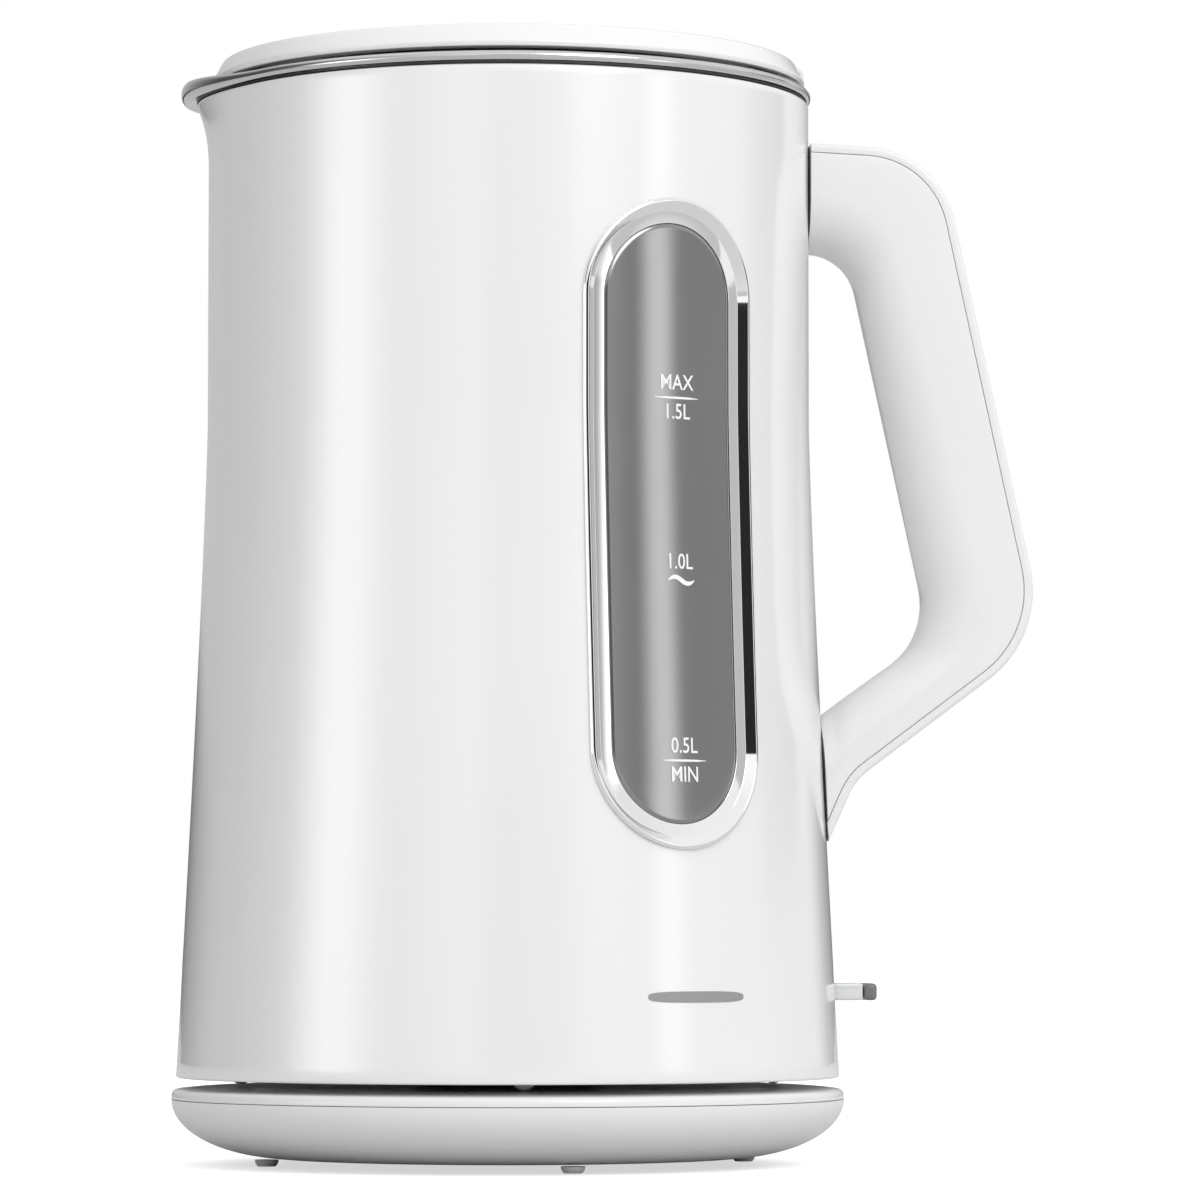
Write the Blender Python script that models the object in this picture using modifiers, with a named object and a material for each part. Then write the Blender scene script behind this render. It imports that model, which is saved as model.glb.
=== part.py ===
"""Electric kettle: a white double-walled jug with a level window, on a round power base.

Metres, +Z up.  Z = 0 is the plane under the base's feet.  The handle points to +X and the spout
to -X.  Lengths below are measured from the kettle's upright axis, which stands at x = AXIS_X, so
that the whole object is centred on the origin.
"""

import bpy
import bmesh
from math import atan2, cos, hypot, pi, radians, sin, tan
from mathutils import Matrix, Vector

for old in list(bpy.data.objects):
    bpy.data.objects.remove(old, do_unlink=True)

# ---------------------------------------------------------------- driving dimensions
GAP = 0.0003                # air kept between pieces that touch
SIDES = 40                  # facets round a large turned piece
FINE = 20                   # facets round a small one

BASE_R = 0.0750             # widest radius of the base, at its split line
BASE_SPLIT_Z = 0.0145
FOOT_H = 0.0016
BASE_TOP_Z = 0.0175
BASE_WALL = 0.0022

SHELL_TOP_Z = 0.2372
SHELL_BOTTOM_Z = 0.0193
SHELL_TOP_R = 0.0675        # the shell is a cylinder above SHELL_BEND_Z and widens below it
SHELL_BOTTOM_R = 0.0740
SHELL_BEND_Z = 0.1650
SHELL_BEND_POWER = 1.22
SHELL_WALL = 0.0018

POT_R = 0.0643              # outside of the steel pot
POT_WALL = 0.0007
POT_FLOOR_Z = 0.0510
RIM_R = 0.0680              # the rolled steel rim
RIM_TOP_Z = 0.2401
MOUTH_R = 0.0585            # hole in the pot's inward ledge

SPOUT_HALF_ANGLE = radians(33)
SPOUT_START_Z = 0.2220
SPOUT_FLARE = 0.0028        # how far the shell's top edge leans out at the spout
LIP_FLARE = 0.0057          # how far the steel lip does

LID_R = 0.0667
LID_TOP_Z = 0.2470
LID_BOTTOM_Z = 0.2412
HINGE_X = 0.0639
HINGE_Z = 0.2436
HINGE_PIN_R = 0.0010
BUTTON_X = 0.0300

WINDOW_AZIMUTH = radians(-61.4)
WINDOW_LOW_Z = 0.0906       # centres of the window's two round ends
WINDOW_HIGH_Z = 0.1881
BEZEL_HALF = 0.0215
LENS_HALF = 0.0160
SIGHT_HALF = 0.0120         # the opening in the steel pot behind the lens

HANDLE_HALF = 0.0130        # half the handle's width
COVER_T = 0.0020            # thickness of the strip that closes the handle's back

LEVER_PIVOT = (0.0620, 0.0383)      # x and z of the switch lever's axle
LEVER_LOW_Z = 0.0364
LEVER_TOP_Z = 0.0402
ROCKER_PIVOT = (0.0380, 0.0414)

HANDLE_TIP_X = 0.1169
AXIS_X = -(HANDLE_TIP_X - BASE_R) / 2


# ---------------------------------------------------------------- materials
def plastic(name, colour, roughness, metallic=0.0):
    """A Principled material with a plain colour, roughness and metallic value."""
    made = bpy.data.materials.new(name)
    made.use_nodes = True
    shader = made.node_tree.nodes["Principled BSDF"]
    shader.inputs["Base Color"].default_value = (*colour, 1.0)
    shader.inputs["Roughness"].default_value = roughness
    shader.inputs["Metallic"].default_value = metallic
    return made


WHITE = plastic("white_gloss", (0.84, 0.84, 0.83), 0.22)
SATIN = plastic("white_satin", (0.86, 0.86, 0.85), 0.38)
STEEL = plastic("steel", (0.60, 0.60, 0.60), 0.28, 1.0)
CHROME = plastic("chrome", (0.80, 0.80, 0.80), 0.08, 1.0)
SMOKE = plastic("smoke_lens", (0.30, 0.30, 0.30), 0.12)
CLEAR = plastic("clear_plastic", (0.78, 0.80, 0.80), 0.15)
GREY = plastic("grey_cap", (0.16, 0.16, 0.16), 0.40)
DARK = plastic("dark_seal", (0.03, 0.03, 0.03), 0.60)
SILICONE = plastic("silicone", (0.72, 0.72, 0.70), 0.55)
NYLON = plastic("black_nylon", (0.05, 0.05, 0.05), 0.50)
BRASS = plastic("brass", (0.72, 0.55, 0.26), 0.30, 1.0)
ALUMINIUM = plastic("aluminium", (0.70, 0.70, 0.71), 0.35, 1.0)
SCREW_STEEL = plastic("screw_steel", (0.45, 0.45, 0.46), 0.35, 1.0)


# ---------------------------------------------------------------- collections and frames
kettle = bpy.data.collections.new("electric_kettle")
cutters = bpy.data.collections.new("cutters")
bpy.context.scene.collection.children.link(kettle)
bpy.context.scene.collection.children.link(cutters)


def frame_at(name, x, z):
    """An empty on a joint's axis, given from the kettle's own axis."""
    empty = bpy.data.objects.new(name, None)
    empty.location = (AXIS_X + x, 0, z)
    empty["from_axis"] = (x, 0.0, z)
    kettle.objects.link(empty)
    return empty


BASE = frame_at("base_frame", 0, 0)
SWIVEL = frame_at("swivel_frame", 0, BASE_TOP_Z)
JUG = frame_at("jug_frame", 0, SHELL_BOTTOM_Z)
LID = frame_at("lid_frame", HINGE_X, HINGE_Z)
BUTTON = frame_at("button_frame", BUTTON_X, LID_TOP_Z)
LATCH = frame_at("latch_frame", BUTTON_X, LID_TOP_Z - 0.010)
LEVER = frame_at("lever_frame", *LEVER_PIVOT)
ROCKER = frame_at("rocker_frame", *ROCKER_PIVOT)


def piece(name, mesh, frame, material):
    """Place a mesh drawn from the kettle's axis as one named piece on its joint's empty."""
    made = bpy.data.objects.new(name, mesh)
    made.parent = frame
    made.location = -Vector(frame["from_axis"])
    mesh.materials.clear()
    mesh.materials.append(material)
    mesh.shade_smooth()
    mesh.set_sharp_from_angle(angle=radians(35))
    kettle.objects.link(made)
    return made


# ---------------------------------------------------------------- mesh makers
def evaluated(holder):
    """The mesh an object shows with its modifiers, welded; the object is removed."""
    bpy.context.view_layer.update()
    shown = holder.evaluated_get(bpy.context.evaluated_depsgraph_get())
    mesh = bpy.data.meshes.new_from_object(shown)
    bpy.data.objects.remove(holder)
    work = bmesh.new()
    work.from_mesh(mesh)
    bmesh.ops.remove_doubles(work, verts=work.verts, dist=0.000002)
    work.to_mesh(mesh)
    work.free()
    return mesh


def turned(profile, sides=SIDES, at=(0, 0), closed=False):
    """Turn (radius, z) points about the upright through at; they run down the outer side."""
    mesh = bpy.data.meshes.new("profile")
    edges = [(i, i + 1) for i in range(len(profile) - 1)]
    if closed:
        edges.append((len(profile) - 1, 0))
    mesh.from_pydata([(r, 0, z) for r, z in profile], edges, [])
    holder = bpy.data.objects.new("profile", mesh)
    bpy.context.scene.collection.objects.link(holder)
    screw = holder.modifiers.new("turn", "SCREW")
    screw.steps = sides
    screw.render_steps = sides
    screw.use_merge_vertices = True
    screw.merge_threshold = 0.00001
    result = evaluated(holder)
    result.transform(Matrix.Translation((at[0], at[1], 0)))
    return result


def ring(inner, outer, low, high, sides=FINE, at=(0, 0)):
    """A plain washer or tube."""
    return turned([(outer, high), (outer, low), (inner, low), (inner, high)], sides, at, True)


def rod(radius, start, end, sides=16):
    """A round bar between two points."""
    start = Vector(start)
    along = Vector(end) - start
    work = bmesh.new()
    turn = along.to_track_quat("Z", "Y").to_matrix().to_4x4()
    bmesh.ops.create_cone(work, cap_ends=True, segments=sides, radius1=radius, radius2=radius,
                          depth=along.length,
                          matrix=Matrix.Translation(start + along / 2) @ turn)
    mesh = bpy.data.meshes.new("rod")
    work.to_mesh(mesh)
    work.free()
    return mesh


def block(low, high, bevel=0.0):
    """A box between two corners, its edges bevelled if asked."""
    low = Vector(low)
    high = Vector(high)
    work = bmesh.new()
    size = Matrix.Diagonal((*(high - low), 1.0))
    bmesh.ops.create_cube(work, size=1.0, matrix=Matrix.Translation((low + high) / 2) @ size)
    if bevel:
        bmesh.ops.bevel(work, geom=work.edges[:], offset=bevel, segments=1, affect="EDGES")
    mesh = bpy.data.meshes.new("block")
    work.to_mesh(mesh)
    work.free()
    return mesh


def ball(radius, centre):
    """A small sphere."""
    work = bmesh.new()
    bmesh.ops.create_uvsphere(work, u_segments=12, v_segments=8, radius=radius,
                              matrix=Matrix.Translation(centre))
    mesh = bpy.data.meshes.new("ball")
    work.to_mesh(mesh)
    work.free()
    return mesh


def prism(outlines, thickness, placed):
    """Extrude flat outlines by a thickness, centred on their plane; a second outline is a hole."""
    curve = bpy.data.curves.new("outline", "CURVE")
    curve.dimensions = "2D"
    curve.fill_mode = "BOTH"
    curve.extrude = thickness / 2
    for outline in outlines:
        spline = curve.splines.new("POLY")
        spline.points.add(len(outline) - 1)
        for point, (u, v) in zip(spline.points, outline):
            point.co = (u, v, 0, 1)
        spline.use_cyclic_u = True
    holder = bpy.data.objects.new("outline", curve)
    bpy.context.scene.collection.objects.link(holder)
    mesh = evaluated(holder)
    bpy.data.curves.remove(curve)
    mesh.transform(placed)
    return mesh


def wire(points, radius):
    """A bent wire along points, with closed ends."""
    curve = bpy.data.curves.new("wire", "CURVE")
    curve.dimensions = "3D"
    curve.bevel_depth = radius
    curve.bevel_resolution = 1
    curve.use_fill_caps = True
    spline = curve.splines.new("POLY")
    spline.points.add(len(points) - 1)
    for point, place in zip(spline.points, points):
        point.co = (*place, 1)
    holder = bpy.data.objects.new("wire", curve)
    bpy.context.scene.collection.objects.link(holder)
    mesh = evaluated(holder)
    bpy.data.curves.remove(curve)
    return mesh


def combine(mesh, others, operation):
    """Boolean a mesh with others, which are kept in the cutters collection as guides."""
    holder = bpy.data.objects.new("worked", mesh)
    bpy.context.scene.collection.objects.link(holder)
    for other in others:
        tool = bpy.data.objects.new("cutter", other)
        tool.hide_render = True
        tool.display_type = "WIRE"
        cutters.objects.link(tool)
        step = holder.modifiers.new(operation.lower(), "BOOLEAN")
        step.operation = operation
        step.object = tool
    return evaluated(holder)


def cut(mesh, *others):
    return combine(mesh, others, "DIFFERENCE")


def join(mesh, *others):
    return combine(mesh, others, "UNION")


def common(mesh, *others):
    return combine(mesh, others, "INTERSECT")


def around(radius, azimuth):
    """x and y of a point at a radius and an azimuth in degrees; azimuth 0 is the handle."""
    return radius * cos(radians(azimuth)), radius * sin(radians(azimuth))


def screw(at, head_r, shank_r, low, head_top, tip):
    """A pan-head screw that stands head-down."""
    return turned([(0, tip), (shank_r, tip - shank_r), (shank_r, head_top), (head_r, head_top),
                   (head_r, low + 0.0003), (head_r - 0.0004, low), (0, low)], 12, at)


def sunk_hole(at, head_r, shank_r, low, step, high):
    """Cutter for a screw's hole with a wider mouth for its head, open downward."""
    return turned([(0, high), (shank_r, high), (shank_r, step), (head_r, step), (head_r, low),
                   (0, low)], 12, at)


# ---------------------------------------------------------------- shared shapes
def shell_radius(z):
    """Outside radius of the jug's shell at a height, away from the spout."""
    if z >= SHELL_BEND_Z:
        return SHELL_TOP_R
    share = (SHELL_BEND_Z - z) / (SHELL_BEND_Z - SHELL_BOTTOM_Z)
    return SHELL_TOP_R + (SHELL_BOTTOM_R - SHELL_TOP_R) * share ** SHELL_BEND_POWER


def shell_band(inset_out, inset_in, low, high, steps=9):
    """A turned wall that follows the shell between two insets from its outside."""
    levels = [high + (low - high) * i / steps for i in range(steps + 1)]
    outside = [(shell_radius(z) - inset_out, z) for z in levels]
    inside = [(shell_radius(z) - inset_in, z) for z in reversed(levels)]
    return turned(outside + inside, closed=True)


def spout_share(x, y):
    """1 in the middle of the spout, falling smoothly to 0 at its edges."""
    off = abs(abs(atan2(y, x)) - pi) / SPOUT_HALF_ANGLE
    if off >= 1:
        return 0.0
    return cos(off * pi / 2) ** 2


def push_out(vertex, amount):
    """Move a vertex away from the axis."""
    radius = hypot(vertex.co.x, vertex.co.y)
    if radius > 0:
        vertex.co.x *= 1 + amount / radius
        vertex.co.y *= 1 + amount / radius


def wall_flare(z):
    """How far the wall leans out at the middle of the spout, at a height."""
    share = max(0.0, z - SPOUT_START_Z) / (SHELL_TOP_Z - SPOUT_START_Z)
    return SPOUT_FLARE * min(share, 1.05) ** 2.5


def flare_walls(mesh):
    """Lean a wall out into the spout."""
    for vertex in mesh.vertices:
        share = spout_share(vertex.co.x, vertex.co.y)
        push_out(vertex, share * wall_flare(vertex.co.z))


def stadium(half_width, low, high, steps=8):
    """An upright outline with straight sides and round ends, centred on u = 0."""
    top = [(half_width * cos(pi * i / steps), high + half_width * sin(pi * i / steps))
           for i in range(steps + 1)]
    bottom = [(-u, low - (v - high)) for u, v in top]
    return top + bottom


def at_window(distance):
    """Matrix that stands a flat outline up, facing out at the window, at a radius."""
    out = Vector((cos(WINDOW_AZIMUTH), sin(WINDOW_AZIMUTH), 0))
    across = Vector((-sin(WINDOW_AZIMUTH), cos(WINDOW_AZIMUTH), 0))
    turn = Matrix((across, Vector((0, 0, 1)), out)).transposed().to_4x4()
    return Matrix.Translation(out * distance) @ turn


def window_prism(*half_widths):
    """A prism through the window: one half width gives a solid, two give a ring."""
    outlines = [stadium(half, WINDOW_LOW_Z, WINDOW_HIGH_Z) for half in half_widths]
    return prism(outlines, 0.044, at_window(0.068))


STAND_UP = Matrix.Rotation(radians(90), 4, "X")     # outline's v axis becomes +Z, extrusion is Y


def rounded(corners):
    """A path through (x, z, radius) corners with its inner corners filleted by arcs."""
    path = [Vector(corners[0][:2])]
    for before, here, after in zip(corners, corners[1:], corners[2:]):
        point = Vector(here[:2])
        back = (Vector(before[:2]) - point).normalized()
        ahead = (Vector(after[:2]) - point).normalized()
        half = back.angle(ahead) / 2
        centre = point + (back + ahead).normalized() * here[2] / sin(half)
        first = point + back * here[2] / tan(half) - centre
        last = point + ahead * here[2] / tan(half) - centre
        sweep = first.angle_signed(last)
        for i in range(7):
            turn = Matrix.Rotation(-sweep * i / 6, 2)
            path.append(centre + turn @ first)
    path.append(Vector(corners[-1][:2]))
    return path


def offset(path, distance):
    """The same path moved sideways, to its right as it runs."""
    moved = []
    for i, point in enumerate(path):
        ahead = path[min(i + 1, len(path) - 1)] - path[max(i - 1, 0)]
        side = Vector((ahead.y, -ahead.x)).normalized()
        moved.append(point + side * distance)
    return moved


# The handle's side view, from the top where it leaves the shell to its lower root.
HANDLE_OUTER = rounded([(0.0600, 0.2286, 0), (0.0962, 0.2268, 0.0210), (0.11973, 0.1176, 0.0250),
                        (0.0768, 0.0854, 0.0140), (0.0700, 0.0700, 0)])
HANDLE_INNER = rounded([(0.0600, 0.2046, 0), (0.0764, 0.2046, 0.0110), (0.09515, 0.1180, 0.0175),
                        (0.0600, 0.0930, 0)])


def handle_solid(first, second, half_width):
    """The space between two handle paths, across a width centred on the handle."""
    outline = [tuple(p) for p in first] + [tuple(p) for p in reversed(second)]
    return prism([outline], 2 * half_width, STAND_UP)


def inside_shell(clearance):
    """A solid plug as large as the shell's outside plus a clearance."""
    low = SHELL_BOTTOM_Z
    levels = [SHELL_TOP_Z + (low - SHELL_TOP_Z) * i / 12 for i in range(13)]
    outside = [(shell_radius(z) + clearance, z) for z in levels]
    return turned([(0, SHELL_TOP_Z)] + outside + [(0, low)])


# ================================================================ power base
# Lower cover: a shallow bowl with a flat underside, open at the top, with the cord's slot behind.
INNER_FLAT_R = 0.050
BOWL_STEPS = 5


def bowl(inset):
    """The bowl's outside or inside curve, a quarter ellipse, from the split line down."""
    wide = BASE_R - INNER_FLAT_R - inset
    deep = BASE_SPLIT_Z - FOOT_H - inset
    steps = [pi / 2 * i / BOWL_STEPS for i in range(BOWL_STEPS + 1)]
    return [(INNER_FLAT_R + wide * cos(t), BASE_SPLIT_Z - deep * sin(t)) for t in steps]


BASE_SCREWS = [around(0.040, a) for a in (30, 150, 270)]
INLET_Z = 0.0108
bottom_cover = turned([(0, FOOT_H + BASE_WALL)] + bowl(BASE_WALL)[::-1] + bowl(0)
                      + [(0, FOOT_H)])
inlet_slot = block((-0.0064, 0.055, 0.0068), (0.0064, 0.080, 0.0200))
bottom_cover = cut(bottom_cover, inlet_slot, *[sunk_hole(at, 0.0034, 0.0018, 0.0, 0.0027, 0.0100)
                                               for at in BASE_SCREWS])
piece("base_bottom_cover", bottom_cover, BASE, WHITE)

# Top cover: a softly rounded rim round a flat platform, with screw bosses under it.
SOCKET_HOLE_R = 0.0185
top_cover = turned([(SOCKET_HOLE_R, BASE_TOP_Z), (0.0620, BASE_TOP_Z), (0.0690, 0.0172),
                    (0.0732, 0.0167), (0.0746, 0.0159), (BASE_R, BASE_SPLIT_Z + GAP),
                    (BASE_R - BASE_WALL, BASE_SPLIT_Z + GAP), (0.0700, 0.0151),
                    (0.0620, BASE_TOP_Z - BASE_WALL), (SOCKET_HOLE_R, BASE_TOP_Z - BASE_WALL)],
                   closed=True)
bosses = [rod(0.0034, (x, y, 0.0050), (x, y, BASE_TOP_Z - 0.001), 12) for x, y in BASE_SCREWS]
boss_holes = [rod(0.0017, (x, y, 0.0040), (x, y, 0.0130), 12) for x, y in BASE_SCREWS]
top_cover = cut(join(top_cover, *bosses), *boss_holes)
piece("base_top_cover", top_cover, BASE, WHITE)

for number, (x, y) in enumerate(BASE_SCREWS, 1):
    fastener = screw((x, y), 0.0028, 0.0013, FOOT_H + 0.0003, FOOT_H + 0.0009, 0.0120)
    piece(f"base_screw_{number}", fastener, BASE, SCREW_STEEL)

FOOT_FIRST_AZIMUTH = -78.6
for number in range(4):
    x, y = around(0.0550, FOOT_FIRST_AZIMUTH + 90 * number)
    foot = turned([(0, FOOT_H - 0.00015), (0.00265, FOOT_H - 0.00015), (0.0024, 0.0005),
                   (0.0020, 0), (0, 0)], 16, (x, y))
    piece(f"base_foot_{number + 1}", foot, BASE, SILICONE)

# Rubber bush that the mains lead passes through, in the slot at the back.
gland = block((-0.0061, 0.0660, 0.0071), (0.0061, 0.0730, 0.0143), 0.0006)
gland = cut(gland, rod(0.0032, (0, 0.060, INLET_Z), (0, 0.080, INLET_Z), 16))
piece("cord_inlet_bush", gland, BASE, NYLON)

terminals = block((-0.0090, 0.0300, 0.0042), (0.0090, 0.0420, 0.0115), 0.0008)
wire_ways = [rod(0.0014, (x, 0.029, 0.0085), (x, 0.043, 0.0085), 8) for x in (-0.005, 0.0, 0.005)]
piece("mains_terminal_block", cut(terminals, *wire_ways), BASE, NYLON)

# Raised round socket: two ring slots and a middle hole, so that the jug fits at any angle.
BOSS_R = 0.0180
BOSS_TOP_Z = 0.0255
SLOT_FLOOR_Z = 0.0150
socket = turned([(0.0036, BOSS_TOP_Z), (0.0066, BOSS_TOP_Z), (0.0066, SLOT_FLOOR_Z),
                 (0.0088, SLOT_FLOOR_Z), (0.0088, BOSS_TOP_Z), (0.0113, BOSS_TOP_Z),
                 (0.0113, SLOT_FLOOR_Z), (0.0147, SLOT_FLOOR_Z), (0.0147, BOSS_TOP_Z),
                 (0.0172, BOSS_TOP_Z), (BOSS_R, BOSS_TOP_Z - 0.0008),
                 (BOSS_R, BASE_TOP_Z - BASE_WALL - GAP),
                 (0.0245, BASE_TOP_Z - BASE_WALL - GAP), (0.0245, 0.0126), (BOSS_R, 0.0126),
                 (BOSS_R, 0.0090), (0.0036, 0.0090)], 24, closed=True)
piece("base_socket", socket, BASE, NYLON)
contact_z = (SLOT_FLOOR_Z + GAP, 0.0174)
piece("socket_outer_contact", ring(0.0120, 0.0140, *contact_z), BASE, BRASS)
piece("socket_inner_contact", ring(0.0071, 0.0083, *contact_z), BASE, BRASS)
piece("socket_centre_contact", ring(0.0024, 0.0032, 0.0095, 0.0170, 16), BASE, BRASS)

# Loose ring round the socket, which turns with the jug.
collar = turned([(0.0186, 0.0200), (0.0198, 0.0200), (0.0203, 0.0195),
                 (0.0203, BASE_TOP_Z + GAP), (0.0186, BASE_TOP_Z + GAP)], 32, closed=True)
piece("socket_collar", collar, SWIVEL, NYLON)

# ================================================================ jug
# Outer shell: slightly conical below, straight above, leaning out into the spout at its top edge.
levels = [SHELL_TOP_Z, 0.2340, 0.2305, 0.2265, SPOUT_START_Z, SHELL_BEND_Z, 0.1400, 0.1100, 0.0800,
          0.0500, SHELL_BOTTOM_Z]
outside = [(shell_radius(z), z) for z in levels]
inside = [(shell_radius(z) - SHELL_WALL, z) for z in reversed(levels)]
shell = turned(outside + inside, closed=True)
flare_walls(shell)
JUG_SCREWS = [around(0.0680, a) for a in (45, 165, 285)]
shell_bosses = [rod(0.0044, (x, y, 0.0248), (x, y, 0.0340), 12) for x, y in JUG_SCREWS]
shell_boss_holes = [rod(0.0017, (x, y, 0.0230), (x, y, 0.0320), 12) for x, y in JUG_SCREWS]
HANDLE_SCREWS_Z = (0.2165, 0.0945)
screw_ways = [rod(0.0017, (0.060, 0, z), (0.078, 0, z), 12) for z in HANDLE_SCREWS_Z]
lever_slot = block((0.0650, -0.0086, 0.0334), (0.0800, 0.0086, LEVER_TOP_Z + 0.0005))
trimmed_bosses = [common(boss, inside_shell(-0.0006)) for boss in shell_bosses]
shell = join(shell, *trimmed_bosses)
shell = cut(shell, window_prism(BEZEL_HALF + GAP), lever_slot, *shell_boss_holes, *screw_ways)
piece("jug_shell", shell, JUG, WHITE)

# Dark gasket between the shell's top edge and the steel rim.
gasket = turned([(0.0672, 0.23770), (0.0672, 0.23740), (0.0659, 0.23740), (0.0659, 0.23770)],
                closed=True)
flare_walls(gasket)
piece("rim_gasket", gasket, JUG, DARK)

# Steel pot: straight wall, rolled rim outside, narrow ledge inside, pouring lip at the spout.
pot_inner = POT_R - POT_WALL
wall_levels = [SPOUT_START_Z, 0.2265, 0.2305, 0.2340]
pot = turned([(0, POT_FLOOR_Z), (pot_inner - 0.0012, POT_FLOOR_Z), (pot_inner, 0.0522)]
             + [(pot_inner, z) for z in wall_levels]
             + [(pot_inner, RIM_TOP_Z - 0.0008), (MOUTH_R, RIM_TOP_Z - 0.0008),
                (MOUTH_R, RIM_TOP_Z), (0.0664, RIM_TOP_Z), (0.0675, RIM_TOP_Z - 0.0001),
                (RIM_R, 0.2395), (RIM_R, 0.2385), (0.0674, 0.23785), (0.0669, 0.23795),
                (POT_R, 0.23795)]
             + [(POT_R, z) for z in reversed(wall_levels)]
             + [(POT_R, 0.0515), (POT_R - 0.0012, POT_FLOOR_Z - 0.0008),
                (0, POT_FLOOR_Z - 0.0008)])
for vertex in pot.vertices:
    radius = hypot(vertex.co.x, vertex.co.y)
    share = spout_share(vertex.co.x, vertex.co.y)
    if vertex.co.z < SHELL_TOP_Z:
        push_out(vertex, share * wall_flare(vertex.co.z))
    else:
        reach = max(0.0, radius - MOUTH_R) / (RIM_R - MOUTH_R)
        push_out(vertex, share * LIP_FLARE * reach ** 1.24)
    if radius > 0.0672:
        rise = 0.0018 if vertex.co.z > 0.2390 else -0.0010
        vertex.co.z += share * rise
STEAM_X = 0.0585
pour_opening = block((-0.0635, -0.0130, 0.2385), (-0.0500, 0.0130, 0.2415))
steam_hole = rod(0.0038, (STEAM_X, 0, 0.045), (STEAM_X, 0, 0.056), 16)
pot = cut(pot, window_prism(SIGHT_HALF), pour_opening, steam_hole)
piece("inner_pot", pot, JUG, STEEL)

# Window: chrome bezel in the shell, lens set back inside it, seal between the lens and the pot.
WINDOW_SPAN = (0.0600, 0.2180)
bezel = common(shell_band(-0.0012, 0.0020, *WINDOW_SPAN), window_prism(BEZEL_HALF, LENS_HALF + GAP))
piece("window_bezel", bezel, JUG, CHROME)
lens = common(shell_band(0.0009, 0.0021, *WINDOW_SPAN), window_prism(LENS_HALF))
piece("window_lens", lens, JUG, SMOKE)
seal_levels = [WINDOW_SPAN[1] + (WINDOW_SPAN[0] - WINDOW_SPAN[1]) * i / 9 for i in range(10)]
seal_wall = turned([(shell_radius(z) - 0.0024, z) for z in seal_levels]
                   + [(POT_R + GAP, WINDOW_SPAN[0]), (POT_R + GAP, WINDOW_SPAN[1])], closed=True)
seal = common(seal_wall, window_prism(LENS_HALF - 0.0004, SIGHT_HALF + 0.0004))
piece("window_seal", seal, JUG, SILICONE)

# Handle: a channel moulding open at the back, closed by a strip, held by two screws.
clear_of_shell = inside_shell(GAP)
grip = handle_solid(offset(HANDLE_OUTER, COVER_T + GAP), HANDLE_INNER, HANDLE_HALF)
channel = handle_solid(offset(HANDLE_OUTER, -0.004), offset(HANDLE_INNER, -0.0030), 0.0102)
channel = cut(channel, inside_shell(0.0045))
grip = cut(grip, channel, clear_of_shell, *screw_ways)
piece("handle_grip", grip, JUG, SATIN)
strip = cut(handle_solid(HANDLE_OUTER, offset(HANDLE_OUTER, COVER_T), HANDLE_HALF), clear_of_shell)
piece("handle_back_cover", strip, JUG, SATIN)
for name, z in zip(("handle_screw_upper", "handle_screw_lower"), HANDLE_SCREWS_Z):
    seat = shell_radius(z) + 0.0045 + GAP
    shank = rod(0.0014, (shell_radius(z) - 0.0015, 0, z), (seat + 0.0005, 0, z), 12)
    head = rod(0.0028, (seat, 0, z), (seat + 0.0018, 0, z), 12)
    piece(name, join(shank, head), JUG, SCREW_STEEL)

# Bottom cover: a disc with a well for the socket and four support nubs.
WELL_R = 0.0225
DISC_Z = 0.0203
disc = turned([(0.0698, 0.0243), (0.0718, 0.0243), (0.0718, DISC_Z + 0.0004),
               (0.0714, DISC_Z), (WELL_R, DISC_Z), (WELL_R, 0.0266), (0.0245, 0.0266),
               (0.0245, DISC_Z + 0.0020), (0.0698, DISC_Z + 0.0020)], closed=True)
nubs = [ball(0.00275, (*around(0.0595, a), 0.02055)) for a in (0, 90, 180, 270)]
disc = cut(join(disc, *nubs), *[sunk_hole(at, 0.0031, 0.0018, 0.0180, 0.0214, 0.0260)
                                for at in JUG_SCREWS])
piece("jug_bottom_cover", disc, JUG, WHITE)
for number, (x, y) in enumerate(JUG_SCREWS, 1):
    fastener = screw((x, y), 0.0026, 0.0013, DISC_Z + 0.0002, DISC_Z + 0.0008, 0.0305)
    piece(f"jug_screw_{number}", fastener, JUG, SCREW_STEEL)

# Heater: diffuser plate under the pot, with an open ring element whose gap faces the handle.
piece("heater_plate", ring(0.0030, 0.0540, 0.0478, 0.0498, 32), JUG, ALUMINIUM)
element_path = [(*around(0.0420, 35 + 290 * i / 24), 0.0442) for i in range(25)]
piece("heating_element", wire(element_path, 0.0030), JUG, SCREW_STEEL)
piece("bimetal_disc", turned([(0, 0.0473), (0.0060, 0.0470), (0.0100, 0.0462), (0.0100, 0.0459),
                              (0.0060, 0.0467), (0, 0.0470)], FINE), JUG, BRASS)

# Control: a round housing over the well, with an arm that carries the trip rocker.
control = turned([(0, 0.0452), (0.0225, 0.0452), (0.0230, 0.0447), (0.0230, 0.0273),
                  (0, 0.0273)], 32)
control = join(control, block((0.0150, -0.0100, 0.0300), (0.0440, 0.0100, 0.0452)))
rocker_way = block((0.0270, -0.0056, 0.0350), (0.0460, 0.0056, 0.0470))
rocker_axle_way = rod(0.0013, (ROCKER_PIVOT[0], -0.012, ROCKER_PIVOT[1]),
                      (ROCKER_PIVOT[0], 0.012, ROCKER_PIVOT[1]), 16)
piece("thermostat_control", cut(control, rocker_way, rocker_axle_way), JUG, NYLON)
piece("connector_outer_ring", ring(0.0124, 0.0136, 0.0181, 0.0270), JUG, BRASS)
piece("connector_inner_ring", ring(0.0073, 0.0081, 0.0181, 0.0270), JUG, BRASS)
pin = turned([(0, 0.0270), (0.0019, 0.0270), (0.0019, 0.0132), (0.0011, 0.0120), (0, 0.0120)], 16)
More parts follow.
